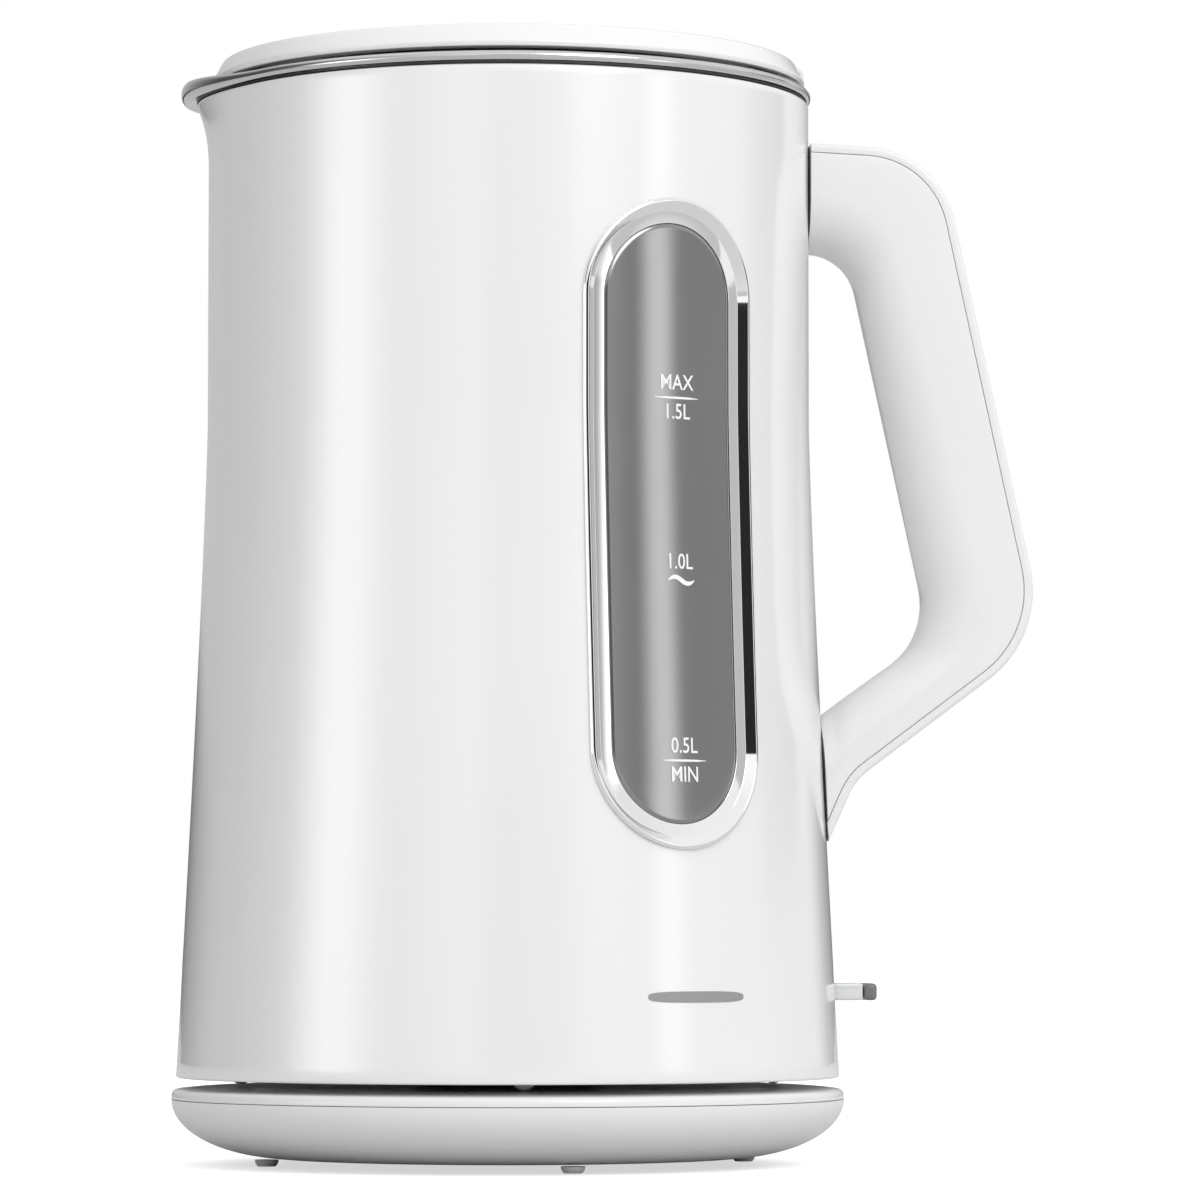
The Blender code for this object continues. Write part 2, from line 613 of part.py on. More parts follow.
piece("connector_pin", pin, JUG, BRASS)

# Steam tube: from under the rim, down inside the pot, to the switch.
piece("steam_tube", ring(0.0025, 0.0034, 0.0440, 0.2340, 16, (STEAM_X, 0)), JUG, CLEAR)

# Filter screen in front of the spout.
screen = block((-0.0606, -0.0165, 0.2120), (-0.0594, 0.0165, 0.2380))
slots = [block((-0.0620, y - 0.0018, 0.2150), (-0.0580, y + 0.0018, 0.2350))
         for y in (-0.0120, -0.0060, 0.0, 0.0060, 0.0120)]
piece("spout_filter", cut(screen, *slots), JUG, SILICONE)

# Hinge: a post with two cheeks on the ledge, a pin across it, a wound spring between the cheeks.
post = block((0.0614, -0.0056, RIM_TOP_Z + GAP), (0.0659, 0.0056, 0.2451), 0.0004)
post = cut(post, block((0.0600, -0.0029, 0.2412), (0.0680, 0.0029, 0.2470)),
           rod(0.0011, (HINGE_X, -0.008, HINGE_Z), (HINGE_X, 0.008, HINGE_Z)))
piece("hinge_post", post, JUG, WHITE)
hinge_pin = rod(HINGE_PIN_R, (HINGE_X, -0.0106, HINGE_Z), (HINGE_X, 0.0106, HINGE_Z))
piece("hinge_pin", hinge_pin, JUG, SCREW_STEEL)
coil = [(HINGE_X + 0.0015 * cos(2 * pi * i / 8), -0.0023 + 0.0046 * i / 24,
         HINGE_Z + 0.0015 * sin(2 * pi * i / 8)) for i in range(25)]
piece("hinge_spring", wire(coil, 0.00028), JUG, SCREW_STEEL)

# Switch bearing: two cheeks on the bottom cover that hold the lever's axle.
bearing = block((0.0560, -0.0118, 0.0236), (0.0670, 0.0118, 0.0252))
cheeks = [block((0.0590, side * 0.0105 - 0.0011, 0.0244), (0.0650, side * 0.0105 + 0.0011, 0.0415))
          for side in (-1, 1)]
axle_way = rod(0.0016, (LEVER_PIVOT[0], -0.015, LEVER_PIVOT[1]),
               (LEVER_PIVOT[0], 0.015, LEVER_PIVOT[1]))
piece("switch_bearing", cut(join(bearing, *cheeks), axle_way), JUG, NYLON)

# ================================================================ lid
notch = block((0.0602, -0.0062, 0.2350), (0.0720, 0.0062, 0.2500))
lid_cover = turned([(0, LID_TOP_Z), (0.0500, 0.2466), (0.0625, 0.2461), (0.0656, 0.2450),
                    (0.0666, 0.2434), (LID_R, 0.2419), (0.0659, LID_BOTTOM_Z),
                    (0.0646, LID_BOTTOM_Z), (0.0644, 0.2436), (0.0610, 0.2445),
                    (0.0500, 0.2450), (0, 0.2454)])
knuckles = [rod(0.0018, (HINGE_X, side * 0.0063, HINGE_Z), (HINGE_X, side * 0.0110, HINGE_Z))
            for side in (-1, 1)]
pin_way = rod(0.0011, (HINGE_X, -0.0120, HINGE_Z), (HINGE_X, 0.0120, HINGE_Z))
button_hole = rod(0.0093, (BUTTON_X, 0, 0.240), (BUTTON_X, 0, 0.250), FINE)
lid_cover = cut(join(lid_cover, *knuckles), notch, pin_way, button_hole)
piece("lid_cover", lid_cover, LID, WHITE)

LID_FLOOR_Z = 0.2362
plug_r = 0.0575
lid_plate = turned([(0, LID_FLOOR_Z), (plug_r - 0.0008, LID_FLOOR_Z), (plug_r - 0.0008, 0.24215),
                    (0.0642, 0.24215), (0.0642, 0.24135), (plug_r, 0.24135), (plug_r, 0.2359),
                    (plug_r - 0.0005, 0.2354), (0, 0.2354)])
nose_ways = [block((-0.0580, side * 0.0225 - 0.0041, 0.2366), (-0.0460, side * 0.0225 + 0.0041, 0.2388))
             for side in (-1, 1)]
hinge_relief = block((0.0603, -0.0122, 0.2350), (0.0700, 0.0122, 0.2450))
piece("lid_plate", cut(lid_plate, hinge_relief, *nose_ways), LID, STEEL)
piece("lid_seal", ring(0.0589, 0.0607, RIM_TOP_Z + 0.0003, 0.2411, SIDES), LID, SILICONE)
spring_path = [(BUTTON_X + 0.0040 * cos(2 * pi * i / 8), 0.0040 * sin(2 * pi * i / 8),
                0.2370 + 0.0069 * i / 32) for i in range(33)]
piece("button_spring", wire(spring_path, 0.00035), LID, SCREW_STEEL)

# Release button, whose cone pushes the latch's wedge back as it goes down.
button = turned([(0, LID_TOP_Z), (0.0082, 0.2469), (0.0090, 0.2462), (0.0090, 0.2449),
                 (0.0122, 0.2449), (0.0122, 0.2440), (0.0093, 0.2411), (0.0050, 0.2411),
                 (0.0050, 0.2446), (0, 0.2446)], FINE, (BUTTON_X, 0))
piece("lid_button", button, BUTTON, SATIN)

half_plan = [(-0.0520, 0.0190), (-0.0520, 0.0260), (-0.0400, 0.0260), (-0.0400, 0.0040),
             (0.0190, 0.0040), (0.0190, 0.0090), (0.0440, 0.0090)]
other_half = [(x, -y) for x, y in reversed(half_plan)]
nose_gap = [(-0.0460, -0.0190), (-0.0460, 0.0190)]
spring_window = [(0.0230, -0.0060), (0.0370, -0.0060), (0.0370, 0.0060), (0.0230, 0.0060)]
latch = prism([half_plan + other_half + nose_gap, spring_window], 0.0016,
              Matrix.Translation((0, 0, 0.2376)))
wedge = prism([[(0.0374, 0.2381), (0.0374, 0.2388), (0.0400, 0.2414), (0.0420, 0.2414), (0.0420, 0.2381)]], 0.0080,
              STAND_UP)
piece("lid_latch", join(latch, wedge), LATCH, SATIN)

# ================================================================ switch
LEVER_HALF = 0.0080
STEM_END_X = 0.0789
TIP_X = 0.0821
stem = block((0.0480, -0.0060, LEVER_LOW_Z), (0.0620, 0.0060, LEVER_TOP_Z))
blade = block((0.0600, -LEVER_HALF, LEVER_LOW_Z), (STEM_END_X, LEVER_HALF, LEVER_TOP_Z))
axle = rod(0.0015, (LEVER_PIVOT[0], -0.0118, LEVER_PIVOT[1]),
           (LEVER_PIVOT[0], 0.0118, LEVER_PIVOT[1]))
piece("lever_stem", join(blade, stem, axle), LEVER, CLEAR)
cap = block((STEM_END_X + GAP, -LEVER_HALF, LEVER_LOW_Z), (TIP_X, LEVER_HALF, LEVER_TOP_Z), 0.0009)
piece("lever_cap", cap, LEVER, GREY)

bar = block((0.0300, -0.0050, 0.0406), (0.0495, 0.0050, 0.0422))
rocker_axle = rod(0.0012, (ROCKER_PIVOT[0], -0.0095, ROCKER_PIVOT[1]),
                  (ROCKER_PIVOT[0], 0.0095, ROCKER_PIVOT[1]))
piece("trip_rocker", join(bar, rocker_axle), ROCKER, SATIN)
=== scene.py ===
from math import asin, atan2, cos, hypot, pi, radians, sin, sqrt, tan

import bmesh
import bpy
from mathutils import Matrix, Vector


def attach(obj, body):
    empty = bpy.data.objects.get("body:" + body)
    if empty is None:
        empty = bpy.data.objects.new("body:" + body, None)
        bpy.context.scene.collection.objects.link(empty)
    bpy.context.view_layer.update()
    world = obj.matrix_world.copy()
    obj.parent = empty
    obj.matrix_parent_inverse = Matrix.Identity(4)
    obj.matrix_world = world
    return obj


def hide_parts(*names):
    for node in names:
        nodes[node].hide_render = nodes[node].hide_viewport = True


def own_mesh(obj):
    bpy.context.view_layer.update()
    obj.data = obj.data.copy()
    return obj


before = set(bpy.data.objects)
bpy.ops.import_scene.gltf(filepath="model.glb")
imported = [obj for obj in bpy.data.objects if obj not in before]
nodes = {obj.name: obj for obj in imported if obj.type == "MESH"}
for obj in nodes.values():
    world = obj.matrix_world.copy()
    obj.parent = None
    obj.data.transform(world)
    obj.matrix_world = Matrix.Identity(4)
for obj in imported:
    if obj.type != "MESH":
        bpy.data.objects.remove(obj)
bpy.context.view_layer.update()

# ---------------------------------------------------------------- power base: lower cover
# A shallow bowl moulded in white ABS, about 2 mm thick, with a flat underside and a slot at the
# back where the mains lead's bush sits.  Three screws from below pull the upper cover down on it.
AXIS_X = -0.02095           # the kettle's own upright axis; everything below is drawn from it


def shader_of(material):
    """The main shader node of a material."""
    return material.node_tree.nodes["Principled BSDF"]


def plastic(name, colour, roughness, coat=0.0, tone=0.02, grain=0.0, metal=0.0):
    """A moulded or metal surface: faint unevenness in tone and polish, and a fine grain."""
    made = bpy.data.materials.new(name)
    made.use_nodes = True
    tree = made.node_tree
    shader = shader_of(made)
    shader.inputs["Metallic"].default_value = metal
    shader.inputs["Coat Weight"].default_value = coat
    shader.inputs["Coat Roughness"].default_value = 0.05
    place = tree.nodes.new("ShaderNodeTexCoord")
    cloud = tree.nodes.new("ShaderNodeTexNoise")
    cloud.inputs["Scale"].default_value = 18.0
    cloud.inputs["Detail"].default_value = 3.0
    tree.links.new(place.outputs["Object"], cloud.inputs["Vector"])
    tint = tree.nodes.new("ShaderNodeValToRGB")
    tint.color_ramp.elements[0].position = 0.30
    tint.color_ramp.elements[1].position = 0.70
    tint.color_ramp.elements[0].color = (*[c * (1 - tone) for c in colour], 1)
    tint.color_ramp.elements[1].color = (*colour, 1)
    tree.links.new(cloud.outputs["Fac"], tint.inputs["Fac"])
    tree.links.new(tint.outputs["Color"], shader.inputs["Base Color"])
    polish = tree.nodes.new("ShaderNodeMapRange")
    polish.inputs["To Min"].default_value = roughness * 0.9
    polish.inputs["To Max"].default_value = roughness * 1.1
    tree.links.new(cloud.outputs["Fac"], polish.inputs["Value"])
    tree.links.new(polish.outputs["Result"], shader.inputs["Roughness"])
    if grain:
        speck = tree.nodes.new("ShaderNodeTexNoise")
        speck.inputs["Scale"].default_value = 2500.0
        tree.links.new(place.outputs["Object"], speck.inputs["Vector"])
        bump = tree.nodes.new("ShaderNodeBump")
        bump.inputs["Strength"].default_value = grain
        bump.inputs["Distance"].default_value = 0.00005
        tree.links.new(speck.outputs["Fac"], bump.inputs["Height"])
        tree.links.new(bump.outputs["Normal"], shader.inputs["Normal"])
    return made


def skin(verts, faces):
    """A closed mesh from points and faces, welded, with its faces turned outward."""
    work = bmesh.new()
    made = [work.verts.new(v) for v in verts]
    for face in faces:
        corners = []
        for i in face:
            if made[i] not in corners:
                corners.append(made[i])
        if len(corners) > 2:
            work.faces.new(corners)
    bmesh.ops.remove_doubles(work, verts=work.verts, dist=0.000002)
    bmesh.ops.dissolve_degenerate(work, edges=work.edges, dist=0.0000005)
    bmesh.ops.recalc_face_normals(work, faces=work.faces)
    if work.calc_volume(signed=True) < 0:
        bmesh.ops.reverse_faces(work, faces=work.faces)
    mesh = bpy.data.meshes.new("skin")
    work.to_mesh(mesh)
    work.free()
    return mesh


def lathe(profile, sides=160, closed=False, at=(0, 0), reshape=None):
    """Turn a path of (radius, z) round the upright through at."""
    verts = []
    rows = len(profile)
    for r, z in profile:
        for j in range(sides):
            turn = 2 * pi * j / sides
            x, y = max(r, 0.0) * cos(turn), max(r, 0.0) * sin(turn)
            if reshape:
                x, y, z_here = reshape(x, y, z)
            else:
                z_here = z
            verts.append((at[0] + x, at[1] + y, z_here))
    faces = []
    for i in range(rows if closed else rows - 1):
        a, b = i * sides, (i + 1) % rows * sides
        for j in range(sides):
            k = (j + 1) % sides
            faces.append((a + j, a + k, b + k, b + j))
    return skin(verts, faces)


def box_mesh(low, high, bevel=0.0):
    """A block with softened edges."""
    low, high = Vector(low), Vector(high)
    work = bmesh.new()
    scale = Matrix.Diagonal((*(high - low), 1.0))
    bmesh.ops.create_cube(work, size=1.0, matrix=Matrix.Translation((low + high) / 2) @ scale)
    if bevel:
        bmesh.ops.bevel(work, geom=work.edges[:], offset=bevel, segments=4, profile=0.5,
                        affect="EDGES")
    mesh = bpy.data.meshes.new("block")
    work.to_mesh(mesh)
    work.free()
    return mesh


def cut_from(mesh, *tools):
    """Cut closed shapes out of a mesh."""
    body = bpy.data.objects.new("body", mesh)
    bpy.context.scene.collection.objects.link(body)
    spent = [body]
    for tool in tools:
        knife = bpy.data.objects.new("knife", tool)
        bpy.context.scene.collection.objects.link(knife)
        spent.append(knife)
        step = body.modifiers.new("cut", "BOOLEAN")
        step.operation = "DIFFERENCE"
        step.object = knife
    bpy.context.view_layer.update()
    shown = body.evaluated_get(bpy.context.evaluated_depsgraph_get())
    result = bpy.data.meshes.new_from_object(shown)
    for old in spent:
        bpy.data.objects.remove(old)
    return result


def put(name, mesh, body, material, slot, *stands_for, sharp=35):
    """Show a mesh drawn from the kettle's axis as one piece that moves with a body."""
    mesh.transform(Matrix.Translation((AXIS_X, 0, 0)))
    mesh.materials.clear()
    mesh.materials.append(material)
    mesh.shade_smooth()
    mesh.set_sharp_from_angle(angle=radians(sharp))
    made = bpy.data.objects.new(name, mesh)
    bpy.context.scene.collection.objects.link(made)
    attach(made, body)
    if stands_for:
        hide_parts(*stands_for)
    return made


def ring_of(radius, *degrees):
    """Places round the axis at a radius."""
    return [(radius * cos(radians(a)), radius * sin(radians(a))) for a in degrees]


def screw_well(place, top, seat, low, head_r):
    """What to cut away for a screw: its clearance hole, and below its seat a well for the head."""
    return lathe([(0, top), (HOLE_R, top), (HOLE_R, seat), (head_r, seat), (head_r, low), (0, low)],
                 32, at=place)


BASE_R = 0.0750
SPLIT_Z = 0.0145
FLAT_R = 0.0500
FLAT_Z = 0.0016
BASE_WALL = 0.0022
HOLE_R = 0.0018
base_white = plastic("base white", (0.80, 0.80, 0.795), 0.30, coat=0.25, grain=0.05)


def bowl(inset):
    """The bowl's curve, a quarter ellipse from the split line down."""
    wide = BASE_R - FLAT_R - inset
    deep = SPLIT_Z - FLAT_Z - inset
    return [(FLAT_R + wide * cos(pi / 2 * i / 24), SPLIT_Z - deep * sin(pi / 2 * i / 24))
            for i in range(25)]


bowl_path = [(0, FLAT_Z + BASE_WALL)] + bowl(BASE_WALL)[::-1] + bowl(0) + [(0, FLAT_Z)]
wells = [screw_well(place, 0.010, 0.0027, 0.0, 0.0034) for place in ring_of(0.040, 30, 150, 270)]
lead_slot = box_mesh((-0.0064, 0.055, 0.0068), (0.0064, 0.080, 0.0200))
put("lower_cover", cut_from(lathe(bowl_path, 192), lead_slot, *wells), "base", base_white,
    "base_white", "base_bottom_cover")

# ---------------------------------------------------------------- power base: feet and screws
# Four small translucent silicone feet are glued in the underside, and three steel screws sit in
# wells there.  The mains lead's black rubber bush is held in the slot at the back.
def dress(material, *names):
    """Give CAD nodes that are shown as they are their finish."""
    for name in names:
        mesh = nodes[name].data
        mesh.materials.clear()
        mesh.materials.append(material)


def fillet(corners, closed=False, steps=5):
    """A path through (a, b, radius) corners with round corners."""
    count = len(corners)
    path = []
    for i, (a, b, radius) in enumerate(corners):
        here = Vector((a, b))
        if radius == 0 or (not closed and i in (0, count - 1)):
            path.append(here)
            continue
        back = (Vector(corners[i - 1][:2]) - here).normalized()
        ahead = (Vector(corners[(i + 1) % count][:2]) - here).normalized()
        half = back.angle(ahead) / 2
        centre = here + (back + ahead).normalized() * radius / sin(half)
        first = here + back * radius / tan(half) - centre
        last = here + ahead * radius / tan(half) - centre
        sweep = first.angle_signed(last)
        for k in range(steps + 1):
            path.append(centre + Matrix.Rotation(-sweep * k / steps, 2) @ first)
    return path


silicone = plastic("silicone", (0.72, 0.72, 0.70), 0.45, tone=0.05)
screw_steel = plastic("screw steel", (0.45, 0.45, 0.46), 0.32, metal=1.0, tone=0.1)
nylon = plastic("black nylon", (0.035, 0.035, 0.037), 0.45, grain=0.2, tone=0.2)
brass = plastic("contact brass", (0.72, 0.55, 0.26), 0.28, metal=1.0, tone=0.15)

FIRST_FOOT = -78.6          # degrees
foot_path = fillet([(0, 0.00145, 0), (0.00265, 0.00145, 0), (0.0025, 0.0007, 0.0003),
                    (0.0020, 0, 0.0003), (0, 0, 0)])
foot_places = ring_of(0.0550, *[FIRST_FOOT + 90 * i for i in range(4)])
for number, place in enumerate(foot_places, 1):
    put(f"foot_{number}", lathe(foot_path, 40, at=place), "base", silicone, "silicone",
        f"base_foot_{number}")
dress(screw_steel, "base_screw_1", "base_screw_2", "base_screw_3")
dress(nylon, "cord_inlet_bush", "mains_terminal_block")

# ---------------------------------------------------------------- power base: upper cover
# A white ABS disc with a rolled edge that meets the bowl at a fine parting line.  Its flat platform
# carries the jug, and a round black socket stands through the middle.
upper_path = fillet([(0.0185, 0.0175, 0.0003), (0.0620, 0.0175, 0.020), (0.0705, 0.0171, 0.004),
                     (0.0749, 0.0167, 0.0013), (0.0750, 0.01462, 0.0002), (0.0728, 0.01462, 0),
                     (0.0700, 0.0151, 0), (0.0620, 0.0153, 0), (0.0185, 0.0153, 0)], closed=True)
put("upper_cover", lathe(upper_path, 192, closed=True), "base", base_white, "base_white",
    "base_top_cover")

socket_path = fillet([(0.0036, 0.0255, 0.0003), (0.0066, 0.0255, 0.0003), (0.0066, 0.0150, 0),
                      (0.0088, 0.0150, 0), (0.0088, 0.0255, 0.0003), (0.0113, 0.0255, 0.0003),
                      (0.0113, 0.0150, 0), (0.0147, 0.0150, 0), (0.0147, 0.0255, 0.0003),
                      (0.0180, 0.0255, 0.0008), (0.0180, 0.0150, 0), (0.0245, 0.0150, 0),
                      (0.0245, 0.0126, 0), (0.0180, 0.0126, 0), (0.0180, 0.0090, 0),
                      (0.0036, 0.0090, 0)], closed=True)
put("socket", lathe(socket_path, 96, closed=True), "base", nylon, "black_plastic", "base_socket")
dress(brass, "socket_outer_contact", "socket_inner_contact", "socket_centre_contact")
collar_path = fillet([(0.0186, 0.0200, 0.0003), (0.0203, 0.0200, 0.0005), (0.0203, 0.0178, 0),
                      (0.0186, 0.0178, 0)], closed=True)
put("collar", lathe(collar_path, 96, closed=True), "swivel", nylon, "black_plastic",
    "socket_collar")

# ---------------------------------------------------------------- jug: bottom cover
# A white moulded disc closes the jug from below, with a well for the socket and four small domed
# nubs that stand on the base.  Three screws hold it to bosses inside the shell.
WELL_R = 0.0225
DISC_LOW = 0.0203
disc_path = fillet([(0.0698, 0.0243, 0), (0.0718, 0.0243, 0), (0.0718, DISC_LOW, 0.0006),
                    (WELL_R, DISC_LOW, 0.0004), (WELL_R, 0.0266, 0.0003), (0.0245, 0.0266, 0.0003),
                    (0.0245, 0.0223, 0), (0.0698, 0.0223, 0)], closed=True)
wells = [screw_well(place, 0.026, 0.0214, 0.018, 0.0031)
         for place in ring_of(0.0680, 45, 165, 285)]
put("jug_base_disc", cut_from(lathe(disc_path, 160, closed=True), *wells), "jug", base_white,
    "shell_white", "jug_bottom_cover")
NUB_R = 0.00275
dome = [(NUB_R * sin(pi / 2 * i / 8), 0.02055 - NUB_R * cos(pi / 2 * i / 8)) for i in range(9)]
dome = [(r, z) for r, z in dome if z < DISC_LOW] + [(0.00274, DISC_LOW), (0, DISC_LOW)]
for number, place in enumerate(ring_of(0.0595, 0, 90, 180, 270), 1):
    put(f"support_nub_{number}", lathe(dome, 32, at=place), "jug", base_white, "shell_white")
dress(screw_steel, "jug_screw_1", "jug_screw_2", "jug_screw_3")

# ---------------------------------------------------------------- jug: outer shell
# A white lacquered wall 1.8 mm thick, straight above and widening a little below, drawn out at its
# top edge into the spout.  It has a long round-ended hole for the level window and a slot for the
# switch lever under the handle.
SHELL_R = 0.0675
SHELL_TOP = 0.2372
SHELL_LOW = 0.0193
WALL = 0.0018
FLARE_FROM = 0.165
FLARE_DEEP = 0.1457
FLARE = 0.0065
SPOUT_TURN = radians(33)
LEAN_FROM = 0.2220
LEAN = 0.0028
WINDOW_TURN = radians(-61.4)
WINDOW_LOW = 0.0906
WINDOW_HIGH = 0.1881


def shell_r(z):
    """Outside radius of the shell at a height."""
    if z >= FLARE_FROM:
        return SHELL_R
    return SHELL_R + FLARE * ((FLARE_FROM - z) / FLARE_DEEP) ** 1.22


def spout_share(x, y):
    """1 in the middle of the spout, falling smoothly to 0 at its edges."""
    off = abs(abs(atan2(y, x)) - pi) / SPOUT_TURN
    return 0.0 if off >= 1 else cos(off * pi / 2) ** 2


def lean_out(x, y, z):
    """How far the wall leans out into the spout here."""
    rise = max(0.0, z - LEAN_FROM) / (SHELL_TOP - LEAN_FROM)
    return spout_share(x, y) * LEAN * min(rise, 1.05) ** 2.5


def lean(x, y, z):
    """Lean the wall out into the spout near its top edge."""
    out = lean_out(x, y, z)
    radius = hypot(x, y)
    return x * (1 + out / radius), y * (1 + out / radius), z


def nearest_on_window(u, z, half):
    """The nearest point of the window's round-ended outline, from across and up distances."""
    centre = min(max(z, WINDOW_LOW), WINDOW_HIGH)
    away = Vector((u, z - centre))
    if away.length < 0.000001:
        return half, z
    edge = away.normalized() * half
    return edge.x, centre + edge.y


HOLE_HALF = 0.0203
SLOT_LOW, SLOT_HIGH, SLOT_HALF = 0.0334, 0.0407, 0.0086
EDGE_R = 0.0006
heights = [SHELL_TOP - 0.0001 - 0.0018 * i for i in range(1, 120)]
heights = [z for z in heights if z > SHELL_LOW + 0.0015
           and min(abs(z - SLOT_LOW), abs(z - SLOT_HIGH)) > 0.0005]
heights = sorted(heights + [SLOT_LOW, SLOT_HIGH], reverse=True)
corner = [pi / 2 * i / 4 for i in range(5)]
outer = [(shell_r(z), z) for z in heights]
inner = [(shell_r(z) - WALL, z) for z in heights]
top_edge = ([(SHELL_R - WALL + EDGE_R * (1 - cos(t)), SHELL_TOP - EDGE_R * (1 - sin(t)))
             for t in corner]
            + [(SHELL_R - EDGE_R * (1 - sin(t)), SHELL_TOP - EDGE_R * (1 - cos(t)))
               for t in corner])
LOW_R = shell_r(SHELL_LOW)
low_edge = ([(LOW_R - EDGE_R * (1 - cos(t)), SHELL_LOW + EDGE_R * (1 - sin(t))) for t in corner]
            + [(LOW_R - WALL + EDGE_R * (1 - sin(t)), SHELL_LOW + EDGE_R * (1 - cos(t)))
               for t in corner])
turns = [2 * pi * j / 360 for j in range(360)]
slot_turn = asin(SLOT_HALF / shell_r(0.037))
turns = [t for t in turns if min(abs(t - slot_turn), abs(t - 2 * pi + slot_turn)) > 0.006]
turns = sorted(turns + [slot_turn, 2 * pi - slot_turn])
rows = outer + low_edge + inner[::-1] + top_edge
count = len(turns)
levels = len(outer)
inner_first = levels + len(low_edge)


def cell_is_open(i, j):
    """Whether the cell below row i and after column j lies in the window or the lever slot."""
    z = (heights[i] + heights[i + 1]) / 2
    turn = (turns[j] + (turns[(j + 1) % count] + (2 * pi if j == count - 1 else 0))) / 2
    u = shell_r(z) * sin(turn - WINDOW_TURN)
    if cos(turn - WINDOW_TURN) > 0:
        centre = min(max(z, WINDOW_LOW), WINDOW_HIGH)
        if hypot(u, z - centre) < HOLE_HALF:
            return True
    y = shell_r(z) * sin(turn)
    return cos(turn) > 0 and abs(y) < SLOT_HALF and SLOT_LOW < z < SLOT_HIGH


opened = {(i, j) for i in range(levels - 1) for j in range(count) if cell_is_open(i, j)}
on_edge = set()
walls = []
for i in range(levels - 1):
    for j in range(count):
        if (i, j) not in opened:
            continue
        k = (j + 1) % count
        for other, ends in (((i - 1, j), ((i, j), (i, k))), ((i + 1, j), ((i + 1, j), (i + 1, k))),
                            ((i, (j - 1) % count), ((i, j), (i + 1, j))),
                            ((i, k), ((i, k), (i + 1, k)))):
            if other not in opened:
                walls.append(ends)
                on_edge.update(ends)


def shell_point(i, j, inside):
    """Where a grid point of the wall lies, drawn onto a hole's outline if it edges one."""
    r, z = (inner if inside else outer)[i]
    turn = turns[j]
    if (i, j) in on_edge and abs(sin(turn - WINDOW_TURN)) < 0.5 and cos(turn - WINDOW_TURN) > 0:
        u, z = nearest_on_window(shell_r(z) * sin(turn - WINDOW_TURN), z, HOLE_HALF)
        r = shell_r(z) - (WALL if inside else 0)
        turn = WINDOW_TURN + asin(u / r)
    return lean(r * cos(turn), r * sin(turn), z)


verts = []
for i, (r, z) in enumerate(rows):
    for j, turn in enumerate(turns):
        if i < levels:
            verts.append(shell_point(i, j, False))
        elif inner_first <= i < inner_first + levels:
            verts.append(shell_point(levels - 1 - (i - inner_first), j, True))
        else:
            verts.append(lean(r * cos(turn), r * sin(turn), z))
faces = []
for i in range(len(rows)):
    for j in range(count):
        if i < levels - 1 and (i, j) in opened:
            continue
        back = levels - 2 - (i - inner_first)
        if inner_first <= i < inner_first + levels - 1 and (back, j) in opened:
            continue
        k = (j + 1) % count
        below = (i + 1) % len(rows)
        faces.append((i * count + j, i * count + k, below * count + k, below * count + j))
facing = inner_first + levels - 1
for (i, j), (m, n) in walls:
    faces.append((i * count + j, m * count + n, (facing - m) * count + n, (facing - i) * count + j))

lacquer = plastic("white lacquer", (0.82, 0.82, 0.815), 0.24, coat=0.6, tone=0.01)
shader_of(lacquer).inputs["Specular IOR Level"].default_value = 0.9
put("shell", skin(verts, faces), "jug", lacquer, "shell_white", "jug_shell")

# ---------------------------------------------------------------- jug: rim gasket
# A thin black rubber ring, moulded in one piece and slipped over the pot.  It is squeezed between
# the shell's top edge and the steel rim.
seal_black = plastic("black rubber", (0.02, 0.02, 0.02), 0.5, tone=0.2)
gasket_path = [(0.0672, 0.23770), (0.0672, 0.23740), (0.0659, 0.23740), (0.0659, 0.23770)]
put("gasket", lathe(gasket_path, 240, closed=True, reshape=lean), "jug", seal_black, "dark_seal",
    "rim_gasket")

# ---------------------------------------------------------------- jug: steel pot and rim
# The pot is drawn from brushed stainless steel 0.7 mm thick.  Its edge is rolled outward into a
# rim over the shell, and drawn out and down over the spout as a round pouring lip.  A silicone
# comb clips in behind the spout to hold back scale.
POT_R = 0.0643
IN_R = 0.0636
MOUTH_R = 0.0585
RIM_R = 0.0680
RIM_TOP = 0.2401
RIM_UNDER = 0.23795
MOUTH_UNDER = 0.2393
LIP_OUT = 0.0057


def rod_mesh(radius, start, end, sides=48):
    """A plain round bar between two points."""
    start = Vector(start)
    along = Vector(end) - start
    turn = along.to_track_quat("Z", "Y").to_matrix().to_4x4()
    work = bmesh.new()
    bmesh.ops.create_cone(work, cap_ends=True, segments=sides, radius1=radius, radius2=radius,
                          depth=along.length, matrix=Matrix.Translation(start + along / 2) @ turn)
    mesh = bpy.data.meshes.new("rod")
    work.to_mesh(mesh)
    work.free()
    return mesh


def pot_shape(x, y, z):
    """Draw the pot's wall and rim out into the lip."""
    radius = hypot(x, y)
    if radius < 0.02:
        return x, y, z
    share = spout_share(x, y)
    if z < SHELL_TOP:
        out = lean_out(x, y, z)
    else:
        reach = max(0.0, radius - MOUTH_R) / (RIM_R - MOUTH_R)
        out = share * LIP_OUT * reach ** 1.24
    if radius > 0.0660:
        part = min(1.0, (radius - 0.0660) / 0.0014)
        z += share * part * (0.0004 + 1.25 * (z - 0.2390))
    return x * (1 + out / radius), y * (1 + out / radius), z


